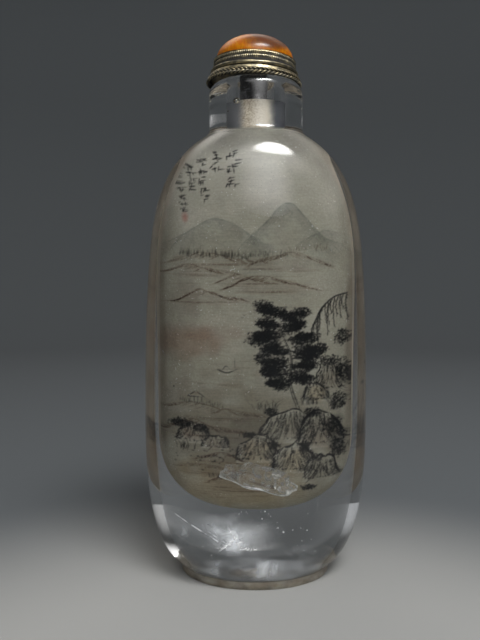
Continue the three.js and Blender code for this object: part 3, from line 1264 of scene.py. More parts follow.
@dataclass(frozen=True)
class PaintedWall:
    """Frosted crystal under thin washes and ink, dusted with fine glints."""

    ground: Colour = (0.44, 0.422, 0.335)
    dusty: Colour = (0.525, 0.508, 0.415)
    warm: Colour = (0.30, 0.265, 0.215)
    shadow: Colour = (0.12, 0.115, 0.10)
    glint: Colour = (0.80, 0.80, 0.76)
    airy: Colour = (0.62, 0.63, 0.60)
    # edge: the lighter warm ground of the sides and back, partly their own tone and partly painted
    # light for the light that barely reaches them
    edge: Colour = (0.78, 0.70, 0.57)
    edge_stain: Colour = (0.52, 0.43, 0.32)
    bore: Colour = (0.90, 0.83, 0.70)
    bore_stain: Colour = (0.50, 0.40, 0.26)
    # The bore's sides: painted shade, grey at the left and darker at the right.
    bore_left_shade: Colour = (0.27, 0.28, 0.30)
    bore_right_shade: Colour = (0.13, 0.14, 0.16)
    airy_heights: Range = (56.0, 70.0)
    lightened_side_depths: Range = (-0.8, 5.0)
    bore_heights: Range = (73.3, 74.9)

    def frosted(self, g: Graph) -> Signal:
        """The hollow's wall: mottled ground with warm stains, a brushed grain and glints."""
        mottled = g.mix(
            g.noise(4.5, 4.0, (1.4, 1.4, 1.0)).step(0.36, 0.66), self.ground, self.dusty
        )
        stained = g.mix(g.noise(7.0, 3.0, (1, 1, 1.8)).step(0.5, 0.75) * 0.6, mottled, self.warm)
        grain = g.noise(0.32, 2.0).step(0.25, 0.75)
        brushed = g.noise(0.5, 2.0, (6.0, 1.0, 0.5)).step(0.3, 0.7)
        frost = g.mix((grain * 0.6 + brushed * 0.4) * 0.34, stained, self.shadow)
        sparks = (g.noise(0.30, 0.0) - 0.74).step(0.0, 0.05) * g.noise(3.0, 1.0).step(0.45, 0.6)
        return g.mix(sparks * 0.7, frost, self.glint)

    def throat(self, g: Graph, across: Signal) -> Signal:
        """The bore's wall: pale and stained in its middle, paler to the right as a painted
        highlight, and darkened at both sides by painted shade.
        """
        # The stain thins out to the right of the middle, leaving a painted highlight.
        stain = g.noise(0.26, 3.0).step(0.34, 0.72) * (0.85 - (across - 0.4).step(-1.2, 0.9) * 0.7)
        middle = g.mix(stain, self.bore, self.bore_stain)
        # Both sides darken to painted shade.
        flank_shade = g.mix(across.step(-2.6, 2.6), self.bore_left_shade, self.bore_right_shade)
        return g.mix((across.abs() + g.noise(1.0, 2.0) * 0.5).step(1.5, 2.7), middle, flank_shade)

    def graph(self) -> Graph:
        """Builds the material."""
        g = Graph("painted_wall", roughness=0.8, specular_ior_level=0.15)
        across, along, up = g.axes()
        wall = g.mix(up.step(*self.airy_heights) * 0.22, self.frosted(g), self.airy)
        # Towards the sides and back the wall turns to the lighter edge ground: partly its own tone,
        # partly painted light.
        streaks = g.noise(2.4, 4.0, (1.0, 1.0, 4.0)).step(0.32, 0.72)
        edge = g.mix(streaks, self.edge, self.edge_stain)
        wall = g.mix((along + g.noise(3.0, 3.0) * 2.4).step(*self.lightened_side_depths), wall, edge)
        wall = g.mix(up.step(*self.bore_heights), wall, self.throat(g, across))
        g.feed(base_color=g.mix(1.0, wall, g.attribute("paint", "Color"), "MULTIPLY"))
        g.bump(g.noise(0.25, 2.0), 0.02, 0.5)
        return g


@dataclass(frozen=True)
class Patch:
    """One piece of the lining: a face of the hollow between two heights."""

    name: str
    face: Face
    low: float
    high: float
    columns: int
    rows: int


@dataclass
class Lining:
    """The paint and frosted surface on the hollow's wall, up to just under the cork."""

    form: CrystalForm
    lift: float = 0.05
    top: float = 80.0
    seam: float = 44.0
    lift_fade: float = 10.0
    fine_steps: tuple[int, int, int] = (300, 600, 60)

    def patches(self) -> list[Patch]:
        """The pieces, with the main face in two so that each stays fine enough for brushwork."""
        floor = self.form.hollow_floor
        return [
            Patch("painting_front_low", Face.FRONT, floor, self.seam, 300, 320),
            Patch("painting_front_high", Face.FRONT, self.seam, self.top, 300, 320),
            Patch("painting_back", Face.BACK, floor, self.top, 190, 380),
        ]

    def levels(self, patch: Patch) -> np.ndarray:
        """Heights that part the wall's section into equal steps.

        Args:
            patch: The piece of lining to part.

        Returns:
            The heights of its rows of points.
        """
        form = self.form
        low_steps, high_steps, bore_steps = self.fine_steps
        middle, floor = form.hollow_middle, form.hollow_floor
        low = middle - (middle - floor) * eased(low_steps, math.sin)[::-1]
        high = np.linspace(middle, form.hollow_top, high_steps)[1:]
        bore = np.linspace(form.hollow_top, self.top, bore_steps)[1:]
        fine = np.concatenate([low, high, bore])
        steps = np.hypot(np.diff(form.inside(fine)[0]), np.diff(fine))
        travel = np.concatenate([[0], np.cumsum(steps)])
        first, last = np.interp([patch.low, patch.high], fine, travel)
        level = np.interp(np.linspace(first, last, patch.rows + 1), travel, fine)
        level[[0, -1]] = patch.low, patch.high
        return level

    @staticmethod
    def close_floor(mesh: bpy.types.Mesh) -> None:
        """Merges the points that meet in the middle of the hollow's floor."""
        shape = bmesh.new()
        shape.from_mesh(mesh)
        bmesh.ops.remove_doubles(shape, verts=shape.verts, dist=WELD)
        shape.to_mesh(mesh)
        shape.free()

    def wrap(self, patch: Patch, finish: Graph, sheet: PaintSheet) -> None:
        """Bends a grid to the wall and wraps a painted sheet round it.

        Args:
            patch: The piece of lining to make.
            finish: The wall's material.
            sheet: The painted sheet for its face.
        """
        form, side = self.form, patch.face.value
        shape = bmesh.new()
        bmesh.ops.create_grid(shape, x_segments=patch.columns, y_segments=patch.rows, size=0.5)
        wall = piece(patch.name, shape, finish, SMOOTH)
        flat = coordinates(wall.data)
        level = self.levels(patch)[np.rint((flat[:, 1] + 0.5) * patch.rows).astype(int)]
        a, b, plan = form.inside(level)
        angle = side * math.pi * (0.5 + side * flat[:, 0])
        x, y = oval_point(angle, a + self.lift, b + self.lift, plan)
        z = level - self.lift * np.clip((form.hollow_middle - level) / self.lift_fade, 0, 1)
        closed = level <= form.hollow_floor
        place = np.stack([np.where(closed, 0, x), np.where(closed, 0, y), z], axis=1)
        wall.data.vertices.foreach_set("co", (place * MM).ravel())
        paint = wall.data.attributes.new("paint", "FLOAT_COLOR", "POINT")
        colour = sheet.sample(-side * x, level)
        paint.data.foreach_set("color", np.column_stack([colour, np.ones(len(colour))]).ravel())
        if patch.low <= form.hollow_floor:
            self.close_floor(wall.data)
        wall.data.update()
        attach(wall, ROOT)

    def build(self, finish: Graph, sheets: dict[Face, PaintSheet]) -> None:
        """Makes each piece, with the painted sheet of its face."""
        for patch in self.patches():
            self.wrap(patch, finish, sheets[patch.face])


# ---------------------------------------------------------------------------
# Flaws sealed in the crystal
# ---------------------------------------------------------------------------


@dataclass(frozen=True)
class Veil:
    """A healed crack: a silvery film, patchy and see-through, glowing faintly in its own colour as
    painted light.
    """

    name: str
    colour: Colour = (0.86, 0.90, 0.94)
    grain: float = 0.9
    low: float = 0.45
    high: float = 0.75
    most: float = 0.8
    metallic: float = 0.0
    roughness: float = 0.5
    painted_glow: float = 0.0

    def graph(self) -> Graph:
        """Builds the material."""
        # The film gives off a little light in its own colour: painted light, not a lamp.
        g = Graph(
            self.name, base_color=self.colour, roughness=self.roughness, metallic=self.metallic,
            emission_color=self.colour, emission_strength=self.painted_glow,
        )
        patches = g.noise(self.grain, 4.0, warp=0.8).step(self.low, self.high)
        cover = patches * g.attribute("cover") * self.most
        g.see_through(cover.clamped())
        g.bump(g.noise(self.grain * 0.5, 3.0), 0.08, 0.8)
        return g


@dataclass(frozen=True)
class Flake:
    """An open crack seen flat on: glassy facets and creases, silvery as a painted reflection of its
    air gap, with a painted highlight along its lower rim.
    """

    # The silvery colour is a painted reflection of the crack's air gap.
    reflected_silver: Colour = (0.80, 0.81, 0.78)
    grey: Colour = (0.50, 0.51, 0.48)

    def graph(self) -> Graph:
        """Builds the material."""
        g = Graph("silver_flake", roughness=0.3, metallic=0.15)
        reach = g.attribute("cover")
        facets = g.noise(1.5, 1.0, warp=1.2).step(0.40, 0.62)
        creases = 1 - g.cell_edges(1.35).step(0.0, 0.10)
        rim = reach.step(0.0, 0.12) * (1 - reach.step(0.25, 0.6))
        across, _, up = g.axes()
        frost = g.noise(1.2, 5.0, warp=1.5).step(0.46, 0.74) * (0.1 + across.step(-1.5, 2.5) * 0.9)
        # The lower rim is painted bright: a painted highlight.
        low = 1 - (up + across * 0.25).step(17.6, 19.4)
        painted_shine = (facets * 0.4 + frost * 0.5 + rim * low).clamped()
        g.feed(base_color=g.mix(painted_shine, self.grey, self.reflected_silver))
        patchy = 0.55 + g.noise(1.8, 3.0).step(0.35, 0.65) * 0.45
        cover = 0.13 + facets * 0.17 + creases * 0.12 + (
            rim * (0.14 + low * 0.34) + frost * 0.62
        ) * patchy
        g.see_through((cover * reach.step(0.0, 0.08)).clamped())
        g.bump(g.noise(1.1, 2.0), 0.25, 1.0)
        return g


@dataclass(frozen=True)
class FootCrust:
    """Beige dirt on the foot's ground side, with a dark line along its top."""

    pale: Colour = (0.60, 0.55, 0.46)
    stain: Colour = (0.42, 0.36, 0.27)
    line: Colour = (0.10, 0.08, 0.055)
    line_heights: Range = (1.25, 1.60)

    def graph(self) -> Graph:
        """Builds the material."""
        g = Graph("foot_crust", roughness=0.8, specular_ior_level=0.2)
        _, _, up = g.axes()
        mottled = g.mix(g.noise(2.6, 4.0, (1, 1, 0.5)).step(0.30, 0.72), self.pale, self.stain)
        g.feed(base_color=g.mix(up.step(*self.line_heights), mottled, self.line))
        g.see_through(0.42 + g.noise(3.0, 4.0).step(0.30, 0.65) * 0.4)
        return g


@dataclass(frozen=True)
class Film:
    """A crumpled film: its middle, half spans, and turns about X, Y and Z in degrees."""

    name: str
    middle: Place
    across: float
    high: float
    turns: Place
    crumple: float
    fade: float = 2.0
    bow: float = 0.0


@dataclass
class Flaws:
    """What the crystal grew around: films, needles, specks and bubbles. Also its foot's crust."""

    form: CrystalForm
    seed: int = 31
    cuts: int = 40
    sides: int = 168
    refraction: float = 1.544
    crust: tuple[Range, ...] = (
        (0.10, 0.16), (0.30, 0.05), (0.70, 0.05), (1.10, 0.05), (1.44, 0.06), (1.62, 0.12)
    )

    def film(self, spec: Film, finish: Graph) -> None:
        """Crumples a grid into one film.

        Args:
            spec: Its place and size.
            finish: Its material.
        """
        shape = bmesh.new()
        bmesh.ops.create_grid(shape, x_segments=self.cuts, y_segments=self.cuts, size=1.0)
        made = piece(spec.name, shape, finish, SMOOTH)
        flat = coordinates(made.data)
        u, v = flat[:, 0], flat[:, 1]
        draw = np.random.default_rng(self.seed + len(spec.name))
        relief = np.zeros(len(u))
        for octave in range(1, 5):
            for _ in range(3):
                heading, start = draw.uniform(0, math.tau, 2)
                wave = u * math.cos(heading) + v * math.sin(heading)
                relief += np.sin(wave * 2.2 * octave + start) / octave
        edge = np.ones(len(u))
        for lobes, depth in ((3, 0.10), (7, 0.08)):
            edge += depth * np.sin(lobes * np.arctan2(v, u) + draw.uniform(0, 6))
        cover = np.clip(1 - (np.hypot(u, v) / edge) ** spec.fade, 0, 1)
        through = relief * spec.crumple + spec.bow * u**2
        local = np.stack([u * spec.across, through, v * spec.high], axis=1)
        about_x, about_y, about_z = (
            Matrix.Rotation(math.radians(angle), 3, axis) for angle, axis in zip(spec.turns, "XYZ")
        )
        place = local @ np.array(about_z @ about_x @ about_y).T + np.array(spec.middle)
        made.data.vertices.foreach_set("co", (place * MM).ravel())
        made.data.attributes.new("cover", "FLOAT", "POINT").data.foreach_set("value", cover)
        made.data.update()
        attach(made, ROOT)

    def grains(self, name: str, places: Line, finish: Graph) -> None:
        """Sets small round grains.

        Args:
            name: The piece's name.
            places: Each grain's x, y, z and radius, in millimetres.
            finish: Their material.
        """
        shape = bmesh.new()
        for x, y, z, radius in places:
            spot = Matrix.Translation((x * MM, y * MM, z * MM))
            bmesh.ops.create_icosphere(shape, subdivisions=2, radius=radius * MM, matrix=spot)
        made = piece(name, shape, finish, SMOOTH)
        cover = made.data.attributes.new("cover", "FLOAT", "POINT")
        cover.data.foreach_set("value", np.ones(len(made.data.vertices)))
        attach(made, ROOT)

    def foot_crust(self) -> None:
        """Lays a thin crust just under the surface of the foot's side."""
        form = self.form
        shape = bmesh.new()
        layer = shape.verts.layers.int.new("level")
        section = [(form.foot_across - depth, z) for z, depth in self.crust]
        for index, vert in enumerate(section_line(shape, section)):
            vert[layer] = index
        turn(shape, self.sides)
        cover = shape.verts.layers.float.new("cover")
        for vert in shape.verts:
            _, depth = self.crust[vert[layer]]
            angle = math.atan2(vert.co.y, vert.co.x)
            vert.co.x = (form.foot_across - depth) * math.cos(angle) * MM
            vert.co.y = (form.foot_through - depth) * math.sin(angle) * MM
            vert[cover] = 1.0
        made = piece("foot_crust", shape, FootCrust().graph(), SMOOTH)
        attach(made, ROOT)

    def films(self, bright: Graph) -> None:
        """Hangs the healed cracks, their clouds, the needles and the open crack.

        Args:
            bright: The material of the needles.
        """
        # The clouds, haze, wisps and sparks give off painted light.
        cloud = Veil(
            "cloud_veil", grain=2.6, low=0.28, high=0.74, most=0.92, roughness=0.7, painted_glow=0.42
        ).graph()
        wisp = Veil(
            "wisp_veil", grain=2.6, low=0.42, high=0.78, most=0.42, roughness=0.6, painted_glow=0.12
        ).graph()
        haze = Veil(
            "haze_veil", grain=4.2, low=0.26, high=0.80, most=0.55, roughness=0.7, painted_glow=0.24
        ).graph()
        spark = Veil(
            "spark_veil", (0.97, 0.98, 1.0), grain=0.8, low=0.38, high=0.62, most=0.85,
            roughness=0.4, painted_glow=0.25,
        ).graph()
        for spec, finish in (
            (Film("spark_upright", (-3.3, -5.0, 8.1), 1.7, 1.3, (0, 20, 8), 0.15), spark),
            (Film("spark_slanting", (-3.6, -5.2, 8.0), 3.0, 0.35, (0, -38, 5), 0.10), spark),
            (Film("spark_crossing", (-3.2, -5.4, 8.4), 2.6, 0.30, (0, 62, -5), 0.10), spark),
            (Film("spark_long", (-4.2, -5.3, 8.6), 3.4, 0.14, (0, -30, 3), 0.06), wisp),
            (Film("flake", (0.4, -10.45, 19.4), 6.2, 2.2, (4, 14, 0), 0.10, 5.0), Flake().graph()),
            # flake_edge: a thin bright film along the flake's lower edge, a painted highlight.
            (
                Film("flake_edge", (0.4, -10.6, 17.7), 2.6, 0.22, (0, 10, 0), 0.05, bow=-0.05),
                bright,
            ),
            (Film("needle_long", (-7.9, -5.0, 9.2), 6.6, 0.15, (0, 32, 0), 0.03, 3.0), bright),
            (Film("needle_short", (-5.4, -4.6, 8.1), 3.4, 0.11, (10, 36, 0), 0.03, 3.0), bright),
            (Film("needle_low", (-6.8, -4.0, 6.6), 4.6, 0.35, (0, 24, 0), 0.05), wisp),
            (Film("wisp_left", (-10.6, -3.5, 8.8), 4.4, 2.4, (0, 42, 0), 0.3), wisp),
            (Film("veil_foot", (0.4, -6.8, 3.6), 10.5, 2.1, (-8, 0, 2), 0.12, 3.0), haze),
            (Film("veil_foot_middle", (1.8, -6.0, 3.5), 5.0, 1.7, (-6, 4, 0), 0.15), haze),
            (Film("veil_foot_right", (7.2, -5.0, 5.6), 2.8, 1.9, (10, 20, -10), 0.2), wisp),
            (Film("needle_right", (9.4, -6.5, 12.0), 0.06, 3.6, (0, 4, 0), 0.05), wisp),
            (Film("scratch", (-14.9, -8.1, 39.2), 1.1, 0.045, (0, 50, 40), 0.02), bright),
            (Film("cloud_core", (-3.6, -4.8, 8.1), 4.0, 2.6, (0, 14, 0), 0.2, 1.2), cloud),
            (Film("cloud_upper", (-2.2, -3.6, 9.4), 5.6, 3.0, (0, 14, 0), 0.2, 1.2), haze),
            (Film("cloud_wide", (-3.0, -2.6, 8.4), 8.0, 3.8, (0, 14, 0), 0.2, 1.2), haze),
        ):
            self.film(spec, finish)

    def specks(self, bright: Graph) -> None:
        """Sets a few bright specks beside the cloud and a dust of smaller ones round it.

        Args:
            bright: Their material.
        """
        draw = np.random.default_rng(self.seed)
        places = [
            (-1.5, -5.5, 12.9, 0.10),
            (1.35, -5.5, 13.0, 0.13),
            (0.9, -5.5, 11.8, 0.10),
            (3.3, -6, 10.4, 0.16),
            (4.1, -6, 9.7, 0.20),
            (5.6, -6, 10.0, 0.08),
            (7.8, -6, 9.9, 0.10),
        ]
        lows, highs = (-13, -7, 5, 0.03), (9, -2, 13, 0.07)
        places += [
            tuple(draw.uniform(low, high) for low, high in zip(lows, highs)) for _ in range(60)
        ]
        self.grains("specks", places, bright)

    def bubbles(self) -> None:
        """Sets the bubble beside the cork and two small ones."""
        air = Graph(
            "trapped_air", base_color=(1, 1, 1), roughness=0.0, ior=1 / self.refraction,
            transmission_weight=1.0,
        )
        places = [(-2.95, -5.4, 79.4, 0.54), (-4.2, -4.8, 77.9, 0.12), (-12.9, -7.4, 33.7, 0.14)]
        self.grains("bubbles", places, air)

    def build(self) -> None:
        """Makes each flaw."""
        # The needles and specks give off a little painted light.
        bright = Veil(
            "needle_veil", (0.95, 0.97, 1.0), grain=1.2, low=0.30, high=0.60, most=0.9,
            roughness=0.4, painted_glow=0.1,
        ).graph()
        self.films(bright)
        self.foot_crust()
        self.specks(bright)
        self.bubbles()


# ---------------------------------------------------------------------------
# Stopper
# ---------------------------------------------------------------------------


@dataclass(frozen=True)
class GiltMetal:
    """Gilt worn down to dull bronze, with bright ridges and near-black hollows: dirt and painted
    shade in its creases, painted shade inside the bezel, underneath and behind the wires.
    """

    gold: Colour = (0.50, 0.42, 0.255)
    bronze: Colour = (0.17, 0.155, 0.115)
    dirt: Colour = (0.018, 0.016, 0.014)

    def graph(self) -> Graph:
        """Builds the material."""
        g = Graph("gilt_metal", metallic=1.0)
        worn = g.mix(g.noise(1.1, 4.0, (1, 1, 0.5)).step(0.35, 0.62), self.gold, self.bronze)
        # The hollow attribute darkens the metal: dirt and painted shade in creases, painted shade
        # underneath and inside.
        hidden = (g.attribute("hollow") + (g.noise(0.35, 3.0) - 0.5) * 0.5).step(0.25, 0.85)
        g.feed(
            base_color=g.mix(hidden, worn, self.dirt),
            roughness=0.34 + hidden * 0.4 + g.noise(0.5, 2.0) * 0.12,
            metallic=1 - hidden * 0.75,
        )
        g.bump(g.noise(0.22, 3.0), 0.03, 0.6)
        return g


@dataclass(frozen=True)
class AmberStone:
    """Polished orange stone with fine threads below its surface, darkening to a brownish patch up
    to the right: partly its own tone, partly painted shade where less light passes through it.
    """

    orange: Colour = (0.38, 0.10, 0.0003)
    honey: Colour = (0.50, 0.20, 0.001)
    brown_shade: Colour = (0.07, 0.018, 0.004)
    brown_shade_middle: Range = (2.0, 89.7)
    brown_shade_spans: Range = (4.0, 2.3)

    def graph(self) -> Graph:
        """Builds the material."""
        g = Graph(
            "amber_stone", roughness=0.42, specular_ior_level=0.15, coat_weight=0.38,
            coat_roughness=0.13, subsurface_weight=0.15, subsurface_radius=(0.003, 0.001, 0.0002),
            subsurface_scale=1.0,
        )
        across, _, up = g.axes()
        threads = g.noise(0.30, 3.0, (1.0, 4.0, 2.5), 0.5).step(0.35, 0.7)
        body = g.mix(threads * 0.7, self.orange, self.honey)
        right = (across - self.brown_shade_middle[0]) / self.brown_shade_spans[0]
        high = (up - self.brown_shade_middle[1]) / self.brown_shade_spans[1]
        # The brownish patch over the upper right is partly the stone's tone and partly painted
        # shade where less light comes through.
        band = 1 - (right * right + high * high + g.noise(1.6, 3.0) * 1.3).step(0.95, 2.05)
        g.feed(base_color=g.mix(band * 0.93, body, self.brown_shade))
        g.bump(g.noise(0.35, 2.0), 0.015, 0.5)
        return g


@dataclass(frozen=True)
class DarkCork:
    """Old cork, almost black, with paler pores."""

    bark: Colour = (0.030, 0.026, 0.024)
    pale: Colour = (0.16, 0.16, 0.17)

    def graph(self) -> Graph:
        """Builds the material."""
        g = Graph("dark_cork", roughness=0.75)
        pores = g.noise(0.45, 4.0, (1, 1, 0.6), 0.6).step(0.50, 0.72)
        g.feed(base_color=g.mix(pores, self.bark, self.pale))
        g.bump(g.noise(0.4, 4.0), 0.15, 1.0)
        return g


@dataclass(frozen=True)
class Ring:
    """A level ring: its radius, its own half thickness and its height."""

    radius: float
    half: float
    height: float


@dataclass
class Collar:
    """The stepped metal mount. Heights are measured from the underside of its lowest ring."""

    finish: GiltMetal = field(default_factory=GiltMetal)
    low_rope: Ring = Ring(7.78, 0.27, 0.27)
    high_rope: Ring = Ring(7.62, 0.24, 0.78)
    slope_foot: Range = (7.60, 1.04)
    slope_head: Range = (7.42, 1.44)
    groove: Range = (7.1, 1.62)
    ring: Ring = Ring(7.06, 0.30, 1.97)
    ring_bend: float = 1.35
    band: float = 6.84
    band_low: float = 2.28
    band_high: float = 2.62
    bezel: float = 6.93
    bezel_wall: float = 0.3
    bezel_top: float = 4.0
    recess: float = 1.15
    socket: Range = (2.7, 2.05)
    seat: float = 2.95
    rib_inset: float = 0.13
    rib_depth: float = 0.11
    ribs: int = 128
    twists: int = 34
    twist_steps: int = 12
    wire_sides: int = 8

    def section(self) -> list[Place]:
        """The turned body's outline as radius, height and share of ribbing."""
        low, high, ring = self.low_rope, self.high_rope, self.ring
        core = low.radius - low.half
        socket, socket_top = self.socket
        groove, groove_height = self.groove
        plain = [
            (0, socket_top),
            (socket, socket_top),
            (socket, self.recess),
            (core, self.recess),
            (core, 0.16),
            (core + 0.1, 0.08),
            (low.radius - 0.08, 0.10),
            (low.radius - 0.10, 0.54),
            (high.radius - 0.08, 0.6),
            (high.radius - 0.10, 0.98),
            self.slope_foot,
            self.slope_head,
            (groove, self.slope_head[1] + 0.06),
            (groove - 0.08, groove_height),
        ]
        for angle in np.linspace(-self.ring_bend, self.ring_bend, 11):
            plain.append(
                (
                    ring.radius + ring.half * math.cos(angle),
                    ring.height + ring.half * math.sin(angle),
                )
            )
        plain += [(self.band, self.band_low), (self.band, self.band_high)]
        outline = [(radius, height, 0) for radius, height in plain]
        foot, head = self.band_high + 0.06, self.bezel_top - 0.10
        middle = (foot + head) / 2
        for start, end in ((foot, middle - 0.05), (middle + 0.05, head)):
            for share in np.linspace(0, 1, 9):
                swell = math.sin(share * math.pi)
                radius = self.bezel - self.rib_inset * (1 - swell)
                outline.append((radius, start + (end - start) * share, swell))
        inner = self.bezel - self.bezel_wall
        return [
            *outline,
            (self.bezel - 0.06, head + 0.05, 0),
            (self.bezel - 0.16, self.bezel_top, 0),
            (inner, self.bezel_top, 0),
            (inner, self.seat, 0),
            (0, self.seat, 0),
        ]

    def turned(self, seat: Matrix) -> bpy.types.Object:
        """Spins the body and cuts the bezel's ribs into it.

        Args:
            seat: The stopper's place.

        Returns:
            The new piece.
        """
        outline = self.section()
        shape = bmesh.new()
        layer = shape.verts.layers.int.new("level")
        for index, vert in enumerate(section_line(shape, [(r, z) for r, z, _ in outline])):
            vert[layer] = index
        turn(shape, self.ribs * 4)
        dirt = shape.verts.layers.float.new("hollow")
        middle = (self.band_high + self.bezel_top) / 2
        for vert in shape.verts:
            radius, height, ribbed = outline[vert[layer]]
            phase = 0.5 if height > middle else 0.0
            share = math.atan2(vert.co.y, vert.co.x) / math.tau
            wave = math.cos((share * self.ribs + phase) * math.tau)
            cut = self.rib_depth * ribbed * (0.5 - 0.5 * wave)
            if ribbed:
                vert.co.xy *= 1 - cut / radius
            # Cut ribs darken with dirt and painted shade in their grooves.
            vert[dirt] = min(1.0, self.grime_and_shade(radius, height) + 0.9 * cut / self.rib_depth)
        bmesh.ops.transform(shape, matrix=seat, verts=shape.verts)
        made = piece("collar_body", shape, self.finish.graph(), 50.0)
        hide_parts("collar")
        return made

    def grime_and_shade(self, radius: float, height: float) -> float:
        """How dark a place on the outline is, from 0 to 1: dirt and painted shade in its creases,
        full painted shade inside the bezel and underneath.
        """
        if radius < self.bezel - self.bezel_wall + 0.05 or height < self.slope_foot[1]:
            return 1.0
        creases = (
            (self.slope_head[1] + 0.15, 0.16),
            (self.band_low + 0.12, 0.22),
            (self.band_high, 0.12),
            ((self.band_high + self.bezel_top) / 2, 0.09),
        )
        return max(math.exp(-((height - z) / reach) ** 2) for z, reach in creases)

    def rope(self, name: str, ring: Ring, hand: int, seat: Matrix) -> bpy.types.Object:
        """Twists two wires into a ring.

        Args:
            name: The piece's name.
            ring: Its size and height.
            hand: 1 or -1, which way the wires twist.
            seat: The stopper's place.

        Returns:
            The new piece.
        """
        shape = bmesh.new()
        steps, apart, thick = self.twists * self.twist_steps, ring.half * 0.5, ring.half * 0.52
        for strand in range(2):
            grid = bmesh.ops.create_grid(
                shape, x_segments=steps, y_segments=self.wire_sides, size=0.5
            )["verts"]
            for vert in grid:
                angle = (vert.co.x + 0.5) * math.tau
                twist = hand * angle * self.twists + strand * math.pi
                side = (vert.co.y + 0.5) * math.tau
                out = ring.radius + (apart * math.cos(twist) + thick * math.cos(side))
                lift = ring.height + (apart * math.sin(twist) + thick * math.sin(side))
                vert.co = Vector((out * math.cos(angle), out * math.sin(angle), lift)) * MM
            bmesh.ops.remove_doubles(shape, verts=grid, dist=WELD)
        bmesh.ops.recalc_face_normals(shape, faces=shape.faces)
        # Dark between the wires and all over their inner side: dirt and painted shade.
        dirt = shape.verts.layers.float.new("hollow")
        for vert in shape.verts:
            out = math.hypot(vert.co.x, vert.co.y) / MM - ring.radius
            far = math.hypot(out, vert.co.z / MM - ring.height) / ring.half
            vert[dirt] = min(1.0, max(0.0, 1.35 - far * 1.25)) if out > 0 else 1.0
        bmesh.ops.transform(shape, matrix=seat, verts=shape.verts)
        return piece(name, shape, self.finish.graph(), SMOOTH)

    def build(self, seat: Matrix) -> None:
        """Builds the body and its two twisted rings."""
        for part in (
            self.turned(seat),
            self.rope("collar_low_rope", self.low_rope, 1, seat),
            self.rope("collar_high_rope", self.high_rope, -1, seat),
        ):
            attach(part, ROOT)


@dataclass
class Stopper:
    """Collar, cabochon and cork, built upright and then set on the mouth with their lean."""

    collar: Collar = field(default_factory=Collar)
    lean: float = 2.0
    shift: float = -0.33
    height: float = 83.25
    girdle: float = 6.48
    base: float = 3.1
    crown: float = 8.12
    cork_radius: float = 2.3
    cork_tip: float = 1.2
    cork_edge: float = 0.25
    cork_low: float = -3.05
    cork_high: float = 1.75
    cork_wear: float = 0.035
    cork_seed: int = 5

    def seat(self) -> Matrix:
        """The move from the stopper's own frame to the bottle's, in metres."""
        lean = Matrix.Rotation(math.radians(self.lean), 4, "Y")
        return Matrix.Translation((self.shift * MM, 0, self.height * MM)) @ lean

    def build(self) -> None:
        """Builds its three parts."""
        self.collar.build(self.seat())
        self.cabochon()
        self.cork()

    def cabochon(self) -> None:
        """Turns the dome."""
        shape = bmesh.new()
        girdle_height = self.collar.bezel_top
        rise = self.crown - girdle_height
        angles = np.linspace(0, math.pi / 2, 25)[:-1]
        dome = [(self.girdle * math.cos(t), girdle_height + rise * math.sin(t)) for t in angles]
        under = [(0, self.base), (self.girdle - 0.2, self.base), (self.girdle, self.base + 0.2)]
        section_line(shape, [*under, *dome, (0, self.crown)])
        turn(shape, 120)
        bmesh.ops.transform(shape, matrix=self.seat(), verts=shape.verts)
        made = piece("cabochon_dome", shape, AmberStone().graph())
        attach(made, ROOT)
        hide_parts("cabochon")

    def cork(self) -> None:
        """Turns the cork and roughens its side."""
        shape = bmesh.new()
        radius, edge, low = self.cork_radius, self.cork_edge, self.cork_low
        angles = np.linspace(0, math.pi / 2, 5)
        rim = [(radius - edge * (1 - math.sin(t)), low + edge * (1 - math.cos(t))) for t in angles]
        side = [(radius, z) for z in np.linspace(low + edge, self.cork_high, 28)[1:]]
        section_line(shape, [(0, low), (self.cork_tip, low), *rim, *side, (0, self.cork_high)])
        turn(shape, 72)
        draw = np.random.default_rng(self.cork_seed)
        for vert in shape.verts:
            if math.hypot(vert.co.x, vert.co.y) > 0.9 * radius * MM:
                vert.co.xy *= 1 - self.cork_wear * draw.random() ** 2
        bmesh.ops.transform(shape, matrix=self.seat(), verts=shape.verts)
        made = piece("cork_plug", shape, DarkCork().graph())
        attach(made, ROOT)
        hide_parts("cork")


# ---------------------------------------------------------------------------
# Studio
# ---------------------------------------------------------------------------


